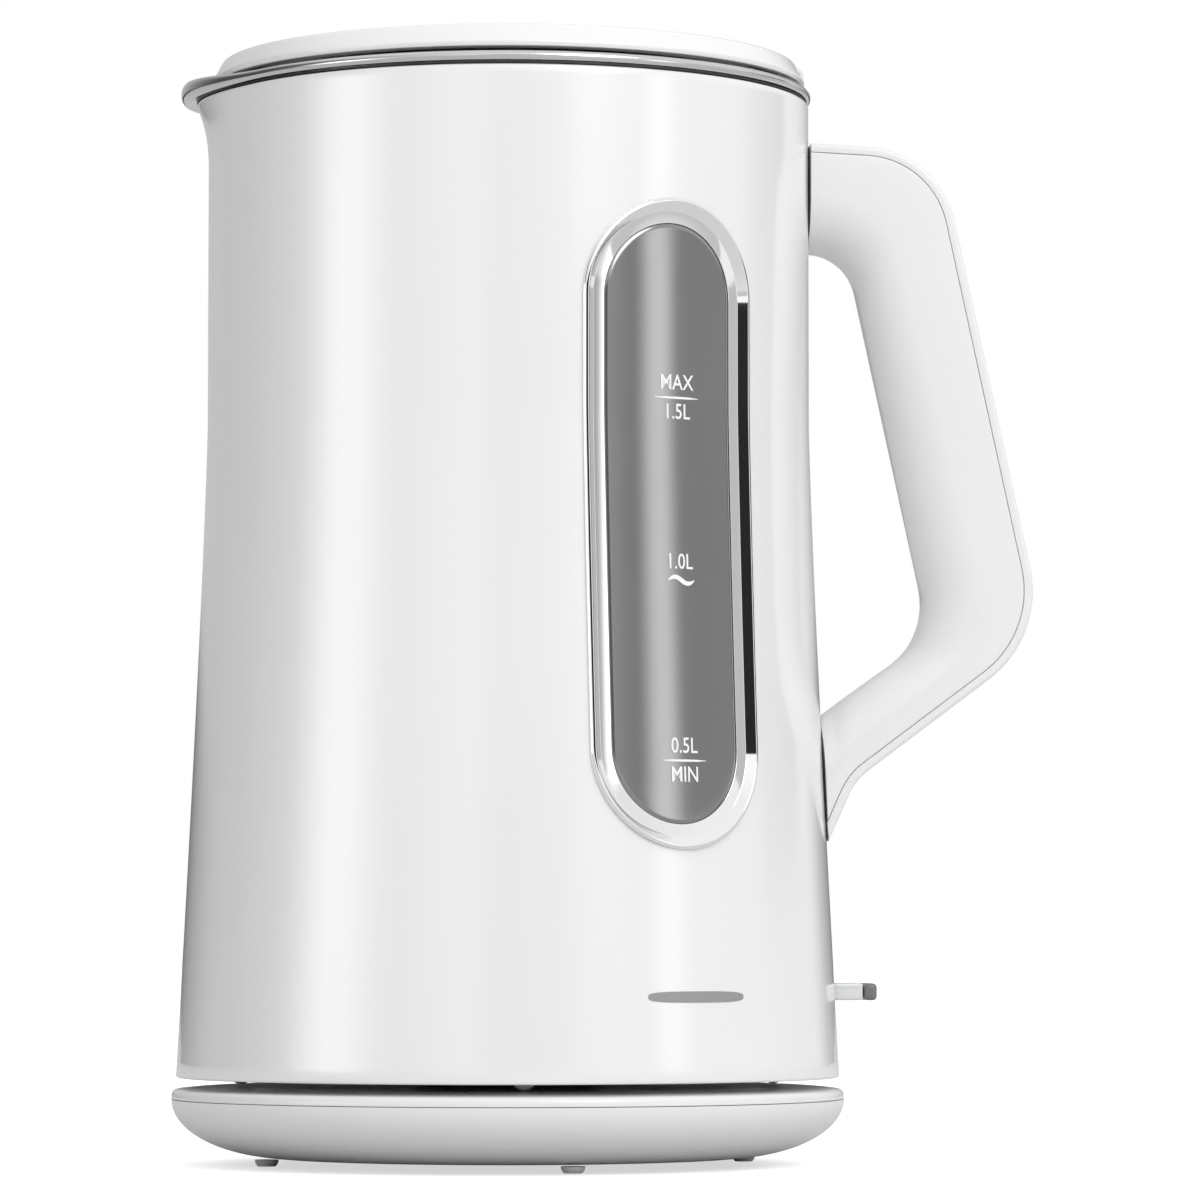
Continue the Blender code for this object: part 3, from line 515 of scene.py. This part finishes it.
wall_up = [0.0522 + (0.2340 - 0.0522) * i / 12 for i in range(13)] + [0.2362]
rim = fillet([(0.0650, RIM_TOP, 0), (RIM_R, RIM_TOP, 0.00110), (RIM_R, 0.23785, 0.00095),
              (0.0667, RIM_UNDER, 0)], steps=8)
pot_path = ([(0, 0.0510), (0.0400, 0.0510), (0.0615, 0.0510), (0.0630, 0.0514)]
            + [(IN_R, z) for z in wall_up]
            + [(IN_R, MOUTH_UNDER), (MOUTH_R, MOUTH_UNDER), (MOUTH_R, RIM_TOP), (0.0620, RIM_TOP)]
            + [tuple(p) for p in rim] + [(POT_R, RIM_UNDER)]
            + [(POT_R, z) for z in reversed(wall_up)]
            + [(0.0637, 0.0507), (0.0622, 0.0502), (0, 0.0502)])
steel = plastic("brushed steel", (0.64, 0.64, 0.645), 0.14, metal=1.0, tone=0.08)
brush = steel.node_tree.nodes.new("ShaderNodeTexWave")
brush.bands_direction = "Z"
brush.inputs["Scale"].default_value = 900.0
brush.inputs["Distortion"].default_value = 6.0
own_axes = steel.node_tree.nodes["Texture Coordinate"]
steel.node_tree.links.new(own_axes.outputs["Object"], brush.inputs["Vector"])
lines = steel.node_tree.nodes.new("ShaderNodeBump")
lines.inputs["Strength"].default_value = 0.04
lines.inputs["Distance"].default_value = 0.00002
steel.node_tree.links.new(brush.outputs["Fac"], lines.inputs["Height"])
steel.node_tree.links.new(lines.outputs["Normal"], shader_of(steel).inputs["Normal"])


OUT = Vector((cos(WINDOW_TURN), sin(WINDOW_TURN), 0))
ACROSS = Vector((-sin(WINDOW_TURN), cos(WINDOW_TURN), 0))


def window_slab(half):
    """A round-ended block through the window, for cutting the pot behind it."""
    outline = [(half * cos(pi * i / 24), WINDOW_HIGH + half * sin(pi * i / 24)) for i in range(25)]
    outline += [(-half * cos(pi * i / 24), WINDOW_LOW - half * sin(pi * i / 24)) for i in range(25)]
    points = [OUT * d + ACROSS * u + Vector((0, 0, z)) for d in (0.046, 0.090) for u, z in outline]
    n = len(outline)
    sides = [(i, (i + 1) % n, n + (i + 1) % n, n + i) for i in range(n)]
    return skin(points, sides + [tuple(range(n)), tuple(range(n, 2 * n))])


pour_way = box_mesh((-0.0635, -0.0130, 0.2385), (-0.0500, 0.0130, 0.2415))
steam_way = rod_mesh(0.0038, (0.0585, 0, 0.045), (0.0585, 0, 0.056))
pot = cut_from(lathe(pot_path, 240, reshape=pot_shape), pour_way, steam_way, window_slab(0.0120))
put("pot", pot, "jug", steel, "pot_steel", "inner_pot")
dress(silicone, "spout_filter")

# ---------------------------------------------------------------- jug: window bezel
# A chromed plastic frame pressed into the shell.  A round bead laps over the shell's surface, and
# the inner wall slopes in to a narrow flat step round the lens.


def outline_ring(half, depth, round_steps=36, straight_steps=40):
    """Points round the window at a half width and a depth from the shell's surface."""
    ring = []
    for i in range(round_steps):
        t = pi * i / round_steps
        ring.append((half * cos(t), WINDOW_HIGH + half * sin(t)))
    for i in range(straight_steps):
        ring.append((-half, WINDOW_HIGH + (WINDOW_LOW - WINDOW_HIGH) * i / straight_steps))
    for i in range(round_steps):
        t = pi * i / round_steps
        ring.append((-half * cos(t), WINDOW_LOW - half * sin(t)))
    for i in range(straight_steps):
        ring.append((half, WINDOW_LOW + (WINDOW_HIGH - WINDOW_LOW) * i / straight_steps))
    points = []
    for u, z in ring:
        out = sqrt((shell_r(z) + depth) ** 2 - u * u)
        points.append(OUT * out + ACROSS * u + Vector((0, 0, z)))
    return points


def loop_mesh(section, closed=True):
    """Sweep a section of (half width, depth) points round the window."""
    rings = [outline_ring(half, depth) for half, depth in section]
    n = len(rings[0])
    points = [p for ring in rings for p in ring]
    quads = []
    for i in range(len(rings) if closed else len(rings) - 1):
        a, b = i * n, (i + 1) % len(rings) * n
        quads += [(a + j, a + (j + 1) % n, b + (j + 1) % n, b + j) for j in range(n)]
    return skin(points, quads)


chrome = plastic("bright chrome", (0.86, 0.86, 0.865), 0.045, metal=1.0, tone=0.01)
bezel_section = fillet([(0.0201, 0.00004, 0), (0.02135, 0.00004, 0.0001), (0.02148, 0.0011, 0.0005),
                        (0.0206, 0.0012, 0.00035), (0.0187, -0.00070, 0.0003),
                        (0.01605, -0.00095, 0.00015), (0.01605, -0.0020, 0), (0.0200, -0.0020, 0)],
                       closed=True, steps=6)
put("bezel", loop_mesh(bezel_section), "jug", chrome, "bezel_chrome", "window_bezel")

# ---------------------------------------------------------------- jug: window lens and seal
# A smoke-grey polycarbonate lens, slightly pillowed with a rolled edge, set back in the bezel.  A
# silicone seal behind it presses on the steel pot, whose grey gives the lens its metal look.
smoke = plastic("smoke lens", (0.26, 0.26, 0.262), 0.15, coat=0.8, metal=0.9, tone=0.03)
shader_of(smoke).inputs["Coat Roughness"].default_value = 0.12
LENS_HALF = 0.0160
LENS_EDGE = 0.0011
MIDDLE = 0.0000001          # all but closes the lens at its middle line
LENS_BACK = -0.0021
lens_section = [(MIDDLE, LENS_BACK), (LENS_HALF, LENS_BACK)]
lens_section += [(LENS_HALF - LENS_EDGE * (1 - cos(t)), -0.0013 + 0.00034 * sin(t))
                 for t in [pi / 2 * i / 8 for i in range(9)]]
lens_section += [(half, -0.00096 + 0.00006 * (1 - half / (LENS_HALF - LENS_EDGE)))
                 for half in (0.013, 0.010, 0.007, 0.004, 0.002)]
lens_section += [(MIDDLE, -0.0009)]
put("lens", loop_mesh(lens_section, closed=False), "jug", smoke, "smoke_lens", "window_lens")
dress(silicone, "window_seal")

# ---------------------------------------------------------------- jug: printed level marks
# The fill levels are pad-printed in pale grey on the lens: a line at the highest and the lowest
# level, a small wave at one litre, and their figures.  A plain grey bar is printed low on the
# shell in the same way.
ink = plastic("pale ink", (0.90, 0.90, 0.90), 0.5, tone=0.03)
MARK_LEFT = 0.0012
MARK_DEPTH = -0.00088       # just proud of the lens
FIGURE = 0.0047
MAX_Z, LITRE_Z, MIN_Z = 0.1664, 0.1270, 0.0882


def wrapped(mesh, depth):
    """Bend a flat drawing of (across, up) points, with its thickness, round the jug."""
    work = bmesh.new()
    work.from_mesh(mesh)
    for step in range(-20, 21):
        bmesh.ops.bisect_plane(work, geom=work.verts[:] + work.edges[:] + work.faces[:],
                               plane_co=(step * 0.0008, 0, 0), plane_no=(1, 0, 0))
    for v in work.verts:
        u, z = v.co.x, v.co.y
        reach = shell_r(z) + depth + (0.00006 if v.co.z > 0 else 0.0)
        v.co = OUT * sqrt(reach ** 2 - u * u) + ACROSS * u + Vector((0, 0, z))
    bmesh.ops.recalc_face_normals(work, faces=work.faces)
    made = bpy.data.meshes.new("mark")
    work.to_mesh(made)
    work.free()
    return made


def letters(text, up):
    """Printed words whose middle is at a height."""
    drawn = bpy.data.curves.new("words", "FONT")
    drawn.body = text
    drawn.size = FIGURE
    drawn.align_x = "CENTER"
    drawn.align_y = "CENTER"
    drawn.extrude = 0.00002
    drawn.offset = 0.00003
    drawn.resolution_u = 3
    holder = bpy.data.objects.new("words", drawn)
    bpy.context.scene.collection.objects.link(holder)
    bpy.context.view_layer.update()
    shown = holder.evaluated_get(bpy.context.evaluated_depsgraph_get())
    mesh = bpy.data.meshes.new_from_object(shown)
    bpy.data.objects.remove(holder)
    mesh.transform(Matrix.Translation((MARK_LEFT, up, 0)) @ Matrix.Diagonal((0.86, 1, 1, 1)))
    return mesh


def bar(points, thick):
    """A printed line along (across, up) points."""
    flat = []
    for i, (u, v) in enumerate(points):
        before, after = points[max(i - 1, 0)], points[min(i + 1, len(points) - 1)]
        along = Vector((after[0] - before[0], after[1] - before[1])).normalized()
        taper = 1 - 0.8 * abs(2 * i / (len(points) - 1) - 1) ** 3
        side = Vector((-along.y, along.x)) * thick * taper / 2
        flat += [(u + side.x, v + side.y), (u - side.x, v - side.y)]
    n = len(flat)
    solid = [(u, v, -0.00002) for u, v in flat] + [(u, v, 0.00002) for u, v in flat]
    quads = []
    for i in range(0, n - 2, 2):
        quads += [(i, i + 1, i + 3, i + 2), (n + i, n + i + 2, n + i + 3, n + i + 1),
                  (i, i + 2, n + i + 2, n + i), (i + 1, n + i + 1, n + i + 3, i + 3)]
    quads += [(0, n, n + 1, 1), (n - 2, n - 1, 2 * n - 1, 2 * n - 2)]
    return skin(solid, quads)


def level_line(up):
    """The straight line that marks a level."""
    return bar([(MARK_LEFT + d, up) for d in (-0.0057, -0.003, 0, 0.003, 0.0057)], 0.0005)


wave = [(MARK_LEFT + 0.0003 + 0.0034 * t / 12, LITRE_Z - 0.0007 * sin(t / 12 * pi))
        for t in range(-12, 13)]
marks = {"max_line": level_line(MAX_Z), "min_line": level_line(MIN_Z),
         "litre_wave": bar(wave, 0.0010),
         "max_word": letters("MAX", MAX_Z + 0.0032), "max_figure": letters("1.5L", MAX_Z - 0.0031),
         "litre_figure": letters("1.0L", LITRE_Z + 0.0039),
         "min_figure": letters("0.5L", MIN_Z + 0.0031), "min_word": letters("MIN", MIN_Z - 0.0031)}
for name, mesh in marks.items():
    put(name, wrapped(mesh, MARK_DEPTH), "jug", ink, "cap_grey")
badge_grey = plastic("badge grey", (0.30, 0.30, 0.30), 0.35, tone=0.05)
badge = bar([(0.0025 + 0.0125 * cos(pi - pi * t / 24), 0.0377) for t in range(25)], 0.0024)
put("printed_badge", wrapped(badge, 0.00002), "jug", badge_grey, "cap_grey")

# ---------------------------------------------------------------- jug: heater and control
# Under the pot sit an aluminium spreader plate, an open ring element and a brass bimetal disc, with
# the black control housing and its contact rings below.  They stay hidden in use.
aluminium = plastic("aluminium", (0.70, 0.70, 0.71), 0.33, metal=1.0, tone=0.06)
clear = plastic("clear tube", (0.78, 0.80, 0.80), 0.15, coat=0.5)
dress(aluminium, "heater_plate")
dress(screw_steel, "heating_element")
dress(brass, "bimetal_disc", "connector_outer_ring", "connector_inner_ring", "connector_pin")
dress(nylon, "thermostat_control")
dress(clear, "steam_tube")

# ---------------------------------------------------------------- handle
# A white satin moulding, rounded where the fingers close on it and crisp at the back, where a
# separate 2 mm strip covers its screws.  Its two roots are shaped to the shell and screwed to it.
satin = plastic("satin white", (0.80, 0.80, 0.795), 0.34, coat=0.3, grain=0.1)
HALF = 0.0130
STRIP = 0.0020
SEAM = 0.00008
outer_line = fillet([(0.0600, 0.2286, 0), (0.0962, 0.2268, 0.0210), (0.11973, 0.1176, 0.0250),
                     (0.0768, 0.0854, 0.0140), (0.0700, 0.0700, 0)], steps=16)
inner_line = fillet([(0.0600, 0.2046, 0), (0.0764, 0.2046, 0.0110), (0.09515, 0.1180, 0.0175),
                     (0.0600, 0.0930, 0)], steps=16)


def moved(path, distance):
    """The same line moved to its right as it runs."""
    result = []
    for i, point in enumerate(path):
        ahead = path[min(i + 1, len(path) - 1)] - path[max(i - 1, 0)]
        result.append(point + Vector((ahead.y, -ahead.x)).normalized() * distance)
    return result


def clear_part(path):
    """The part of a line outside the shell, finely divided."""
    dense = []
    for a, b in zip(path, path[1:]):
        n = max(1, int((b - a).length / 0.0004))
        dense += [a + (b - a) * k / n for k in range(n)]
    dense.append(path[-1])
    return [p for p in dense if p.x > shell_r(p.y) - 0.0006]


def spaced(path, splits, counts):
    """Points spaced along a line, with a set number between each pair of split places."""
    lengths = [0.0]
    for a, b in zip(path, path[1:]):
        lengths.append(lengths[-1] + (b - a).length)
    marks_at = [0.0]
    for place in splits:
        nearest = min(range(len(path)), key=lambda i: (path[i] - Vector(place)).length)
        marks_at.append(lengths[nearest])
    marks_at.append(lengths[-1])
    wanted = []
    for low, high, n in zip(marks_at, marks_at[1:], counts):
        wanted += [low + (high - low) * k / n for k in range(n)]
    wanted.append(lengths[-1])
    result = []
    i = 0
    for goal in wanted:
        while i < len(lengths) - 2 and lengths[i + 1] < goal:
            i += 1
        span = lengths[i + 1] - lengths[i]
        share = 0.0 if span == 0 else min(1.0, (goal - lengths[i]) / span)
        result.append(path[i] + (path[i + 1] - path[i]) * share)
    return result


def section_points(depth, near_r, far_r, half):
    """Outline of the handle's cross-section: (depth from the finger side, across)."""
    near_r = min(near_r, depth * 0.66)
    return fillet([(0, -half, near_r), (depth, -half, far_r), (depth, half, far_r),
                   (0, half, near_r)], closed=True, steps=10)


def handle_loft(near, far, near_r, far_r, half):
    """Join cross-sections between two matched lines; both ends lie on the shell."""
    points = []
    for p, q in zip(near, far):
        across = q - p
        depth = across.length
        unit = across / depth
        for d, y in section_points(depth, near_r, far_r, half):
            x, z = p.x + unit.x * d, p.y + unit.y * d
            wall_r = shell_r(z) + 0.00005
            if hypot(x, y) < wall_r:
                x = sqrt(wall_r ** 2 - y * y)
            points.append((x, y, z))
    n = len(section_points(0.02, near_r, far_r, half))
    last = len(near) - 1
    quads = []
    for i in range(last):
        quads += [(i * n + j, i * n + (j + 1) % n, (i + 1) * n + (j + 1) % n, (i + 1) * n + j)
                  for j in range(n)]
    quads += [tuple(range(n)), tuple(range(last * n, (last + 1) * n))]
    return skin(points, quads)


corner_far = [(0.0905, 0.2205), (0.1160, 0.1175)]
corner_near = [(0.0735, 0.2015), (0.0925, 0.1185)]
steps_between = (22, 60, 44)
far_line = spaced(clear_part(moved(outer_line, STRIP + SEAM)), corner_far, steps_between)
near_line = spaced(clear_part(inner_line), corner_near, steps_between)
put("grip", handle_loft(near_line, far_line, 0.0126, 0.0004, HALF), "jug", satin, "handle_white",
    "handle_grip", sharp=50)
back_line = spaced(clear_part(outer_line), corner_far, steps_between)
front_line = spaced(clear_part(moved(outer_line, STRIP)), corner_far, steps_between)
put("grip_strip", handle_loft(front_line, back_line, 0.0002, 0.0009, HALF), "jug", satin,
    "handle_white", "handle_back_cover", sharp=50)
dress(screw_steel, "handle_screw_upper", "handle_screw_lower")

# ---------------------------------------------------------------- lid
# A shallow white cap with a rolled edge, hinged over the handle, with a round release button.  A
# steel plate under it plugs the pot's mouth, with a silicone seal round it.
lid_path = fillet([(0, 0.2470, 0), (0.0500, 0.2467, 0.05), (0.0645, 0.2463, 0.0010),
                   (0.0667, 0.2422, 0.0010), (0.0664, 0.2412, 0.0003), (0.0646, 0.2412, 0.0003),
                   (0.0644, 0.2436, 0), (0.0610, 0.2444, 0), (0.0500, 0.2449, 0), (0, 0.2453, 0)],
                  steps=8)
# The hinge post on the pot comes up through the notch.
notch = box_mesh((0.0602, -0.0062, 0.2350), (0.0720, 0.0062, 0.2500))
BUTTON_X = 0.0300
button_hole = rod_mesh(0.0093, (BUTTON_X, 0, 0.238), (BUTTON_X, 0, 0.252), 96)
put("lid_cap", cut_from(lathe(lid_path, 240), notch, button_hole), "lid", lacquer, "shell_white",
    "lid_cover")
PIN_X, PIN_Z = 0.0639, 0.2436
for number, side in enumerate((-1, 1), 1):
    ear = cut_from(rod_mesh(0.0018, (PIN_X, side * 0.0063, PIN_Z), (PIN_X, side * 0.0110, PIN_Z)),
                   rod_mesh(0.0011, (PIN_X, -0.0120, PIN_Z), (PIN_X, 0.0120, PIN_Z)))
    put(f"lid_ear_{number}", ear, "lid", satin, "shell_white")
plate_path = fillet([(0, 0.2362, 0), (0.0567, 0.2362, 0), (0.0567, 0.24215, 0), (0.0642, 0.24215, 0),
                     (0.0642, 0.24135, 0), (0.0575, 0.24135, 0), (0.0575, 0.2354, 0.0006),
                     (0, 0.2354, 0)], steps=4)
relief = box_mesh((0.0603, -0.0122, 0.2350), (0.0700, 0.0122, 0.2450))
nose_ways = [box_mesh((-0.0580, y - 0.0041, 0.2366), (-0.0460, y + 0.0041, 0.2388))
             for y in (-0.0225, 0.0225)]
put("lid_underside", cut_from(lathe(plate_path, 200), relief, *nose_ways), "lid", steel,
    "pot_steel", "lid_plate")
button_path = fillet([(0, 0.2470, 0), (0.0090, 0.2470, 0.0007), (0.0090, 0.2449, 0),
                      (0.0122, 0.2449, 0), (0.0122, 0.2440, 0), (0.0093, 0.2411, 0),
                      (0.0050, 0.2411, 0), (0.0050, 0.2446, 0), (0, 0.2446, 0)])
put("release_button", lathe(button_path, 96, at=(BUTTON_X, 0)), "button", satin, "handle_white",
    "lid_button")
dress(satin, "hinge_post", "lid_latch")
dress(silicone, "lid_seal")
dress(screw_steel, "hinge_pin", "hinge_spring", "button_spring")
# The spring under the button shortens as the button goes down.
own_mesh(nodes["button_spring"])

# ---------------------------------------------------------------- switch lever
# A clear blade reaches out of the slot under the handle, pivoted on an axle in a bearing inside,
# with a grey pressed-on cap for the thumb.  It tips the white rocker of the control.
cap_grey = plastic("grey cap", (0.17, 0.17, 0.17), 0.35, coat=0.2, tone=0.1)
blade = box_mesh((0.0600, -0.0080, 0.0364), (0.0789, 0.0080, 0.0402), 0.0005)
arm = box_mesh((0.0480, -0.0060, 0.0364), (0.06005, 0.0060, 0.0402), 0.0003)
axle = rod_mesh(0.0015, (0.0620, -0.0118, 0.0383), (0.0620, 0.0118, 0.0383))
clear_blade = plastic("clear blade", (0.70, 0.71, 0.71), 0.12, coat=0.8)
put("lever_blade", blade, "lever", clear_blade, "clear_plastic", "lever_stem")
put("lever_arm", arm, "lever", clear_blade, "clear_plastic")
put("lever_axle", axle, "lever", clear_blade, "clear_plastic")
cap = box_mesh((0.0792, -0.0080, 0.0364), (0.0821, 0.0080, 0.0402), 0.0009)
put("lever_tip", cap, "lever", cap_grey, "cap_grey", "lever_cap")
dress(nylon, "switch_bearing")
dress(satin, "trip_rocker")

# ---------------------------------------------------------------- studio
# A pale floor in a white room, lit softly all round and from a round softbox high on the right of
# the front.  Two upright panels and some low dark cards draw the lines in the lacquer and chrome.
floor_mesh = bpy.data.meshes.new("floor")
floor_mesh.from_pydata([(-9, -9, 0), (9, -9, 0), (9, 9, 0), (-9, 9, 0)], [], [(0, 1, 2, 3)])
floor = bpy.data.objects.new("floor", floor_mesh)
bpy.context.scene.collection.objects.link(floor)
floor.location.z = -0.0002
pale = bpy.data.materials.new("pale floor")
pale.use_nodes = True
shader_of(pale).inputs["Base Color"].default_value = (0.70, 0.70, 0.70, 1)
shader_of(pale).inputs["Roughness"].default_value = 0.9
shader_of(pale).inputs["Specular IOR Level"].default_value = 0.0
tree = pale.node_tree
lit = tree.nodes.new("ShaderNodeEmission")
lit.inputs["Color"].default_value = (1, 1, 1, 1)
lit.inputs["Strength"].default_value = 0.62
both = tree.nodes.new("ShaderNodeAddShader")
tree.links.new(shader_of(pale).outputs[0], both.inputs[0])
tree.links.new(lit.outputs[0], both.inputs[1])
ray = tree.nodes.new("ShaderNodeLightPath")
pick = tree.nodes.new("ShaderNodeMixShader")
tree.links.new(ray.outputs["Is Camera Ray"], pick.inputs["Fac"])
tree.links.new(shader_of(pale).outputs[0], pick.inputs[1])
tree.links.new(both.outputs[0], pick.inputs[2])
tree.links.new(pick.outputs[0], tree.nodes["Material Output"].inputs["Surface"])
floor_mesh.materials.append(pale)

room = bpy.data.worlds.new("studio")
bpy.context.scene.world = room
room.use_nodes = True
tree = room.node_tree
tree.nodes.clear()
FRONT = -93.3               # compass of the front, in degrees


def sums(operation, *values):
    """A Math node over values or other nodes' outputs; gives its output."""
    made = tree.nodes.new("ShaderNodeMath")
    made.operation = operation
    for socket, value in zip(made.inputs, values):
        if isinstance(value, (int, float)):
            socket.default_value = value
        else:
            tree.links.new(value, socket)
    return made.outputs[0]


def by_compass(top, pairs):
    """A level that changes with the compass: (degrees right of the front, level) pairs."""
    ramp = tree.nodes.new("ShaderNodeValToRGB")
    stops = ramp.color_ramp.elements
    stops.remove(stops[1])
    for number, (angle, level) in enumerate(pairs):
        place = (angle + 180) / 360
        stop = stops[0] if number == 0 else stops.new(place)
        stop.position = place
        stop.color = (level / top, level / top, level / top, 1)
    tree.links.new(bearing, ramp.inputs["Fac"])
    return sums("MULTIPLY", ramp.outputs["Color"], top)


def by_height(from_a, from_b, to_a, to_b):
    """A level that changes smoothly between two heights of the direction."""
    step = tree.nodes.new("ShaderNodeMapRange")
    step.interpolation_type = "SMOOTHSTEP"
    step.inputs["From Min"].default_value = from_a
    step.inputs["From Max"].default_value = from_b
    step.inputs["To Min"].default_value = to_a
    step.inputs["To Max"].default_value = to_b
    tree.links.new(split.outputs["Z"], step.inputs["Value"])
    return step.outputs["Result"]


direction = tree.nodes.new("ShaderNodeTexCoord")
split = tree.nodes.new("ShaderNodeSeparateXYZ")
tree.links.new(direction.outputs["Generated"], split.inputs["Vector"])
compass = sums("ARCTAN2", split.outputs["Y"], split.outputs["X"])
bearing = sums("FRACT", sums("MULTIPLY_ADD", compass, 1 / (2 * pi), 1.5 - FRONT / 360))
walls_of_light = by_compass(2.0, [(-180, 0.60), (-150, 0.50), (-112, 0.08), (-85, 0.20),
                                  (-60, 0.42), (-40, 0.80), (-10, 1.10), (25, 1.20), (42, 1.05),
                                  (48, 0.75), (54, 0.86), (70, 0.98), (98, 1.02), (140, 0.86),
                                  (165, 0.30), (180, 0.60)])
panel_sides = by_compass(8.0, [(-86, 0.0), (-76, 1.4), (-69, 2.8), (-60, 2.8), (-50, 1.1),
                               (-42, 0.0), (50, 0.0), (56, 1.5), (61, 1.5), (68, 0.0)])
panels = sums("MULTIPLY", panel_sides, by_height(0.17, 0.25, 1.0, 0.0))
card_sides = by_compass(1.0, [(-12, 0.0), (-6, 0.98), (21, 0.98), (27, 0.35), (42, 0.35),
                              (49, 0.40), (55, 0.30), (72, 0.42), (101, 0.40), (106, 0.97),
                              (128, 0.97), (134, 0.0)])
card_band = sums("MULTIPLY", by_height(0.050, 0.075, 0.0, 1.0), by_height(0.175, 0.195, 1.0, 0.0))
cards = sums("MULTIPLY", card_sides, card_band)
rear_sides = by_compass(1.0, [(-180, 0.97), (-140, 0.97), (-125, 0.0), (135, 0.0), (150, 0.97),
                              (180, 0.97)])
behind = sums("MULTIPLY", rear_sides, by_height(0.045, 0.070, 1.0, 0.0))
shaded = sums("MULTIPLY", sums("SUBTRACT", 1.0, cards), sums("SUBTRACT", 1.0, behind))
around = sums("ADD", sums("MULTIPLY", walls_of_light, shaded), panels)
ceiling = by_height(0.45, 0.85, 0.0, 1.0)
level = sums("ADD", sums("MULTIPLY", around, sums("SUBTRACT", 1.0, ceiling)),
             sums("MULTIPLY", ceiling, 1.00))
studio_light = tree.nodes.new("ShaderNodeBackground")
tree.links.new(level, studio_light.inputs["Strength"])
backdrop = tree.nodes.new("ShaderNodeBackground")
backdrop.inputs["Color"].default_value = (1, 1, 1, 1)
studio_light.inputs["Color"].default_value = (1, 1, 1, 1)
ray = tree.nodes.new("ShaderNodeLightPath")
seen = tree.nodes.new("ShaderNodeMixShader")
tree.links.new(ray.outputs["Is Camera Ray"], seen.inputs["Fac"])
tree.links.new(studio_light.outputs[0], seen.inputs[1])
tree.links.new(backdrop.outputs[0], seen.inputs[2])
tree.links.new(seen.outputs[0], tree.nodes.new("ShaderNodeOutputWorld").inputs["Surface"])
bpy.context.scene.view_settings.view_transform = "Standard"

softbox = bpy.data.lights.new("softbox", "AREA")
softbox.shape = "DISK"
softbox.size = 1.2
softbox.energy = 11
lamp = bpy.data.objects.new("softbox", softbox)
bpy.context.scene.collection.objects.link(lamp)
lamp.location = Vector((0.81, -1.53, 1.12))
lamp.rotation_euler = (Vector((0, 0, 0.12)) - lamp.location).to_track_quat("-Z", "Y").to_euler()

eye = bpy.data.cameras.new("eye")
eye.lens = 174
eye.sensor_width = 36
eye.clip_start = 0.05
eye.clip_end = 60
camera = bpy.data.objects.new("eye", eye)
bpy.context.scene.collection.objects.link(camera)
camera.location = (-0.09575, -1.2978, 0.0494)
camera.rotation_euler = (radians(90 + 3.375), 0, radians(-4.205))
bpy.context.scene.camera = camera
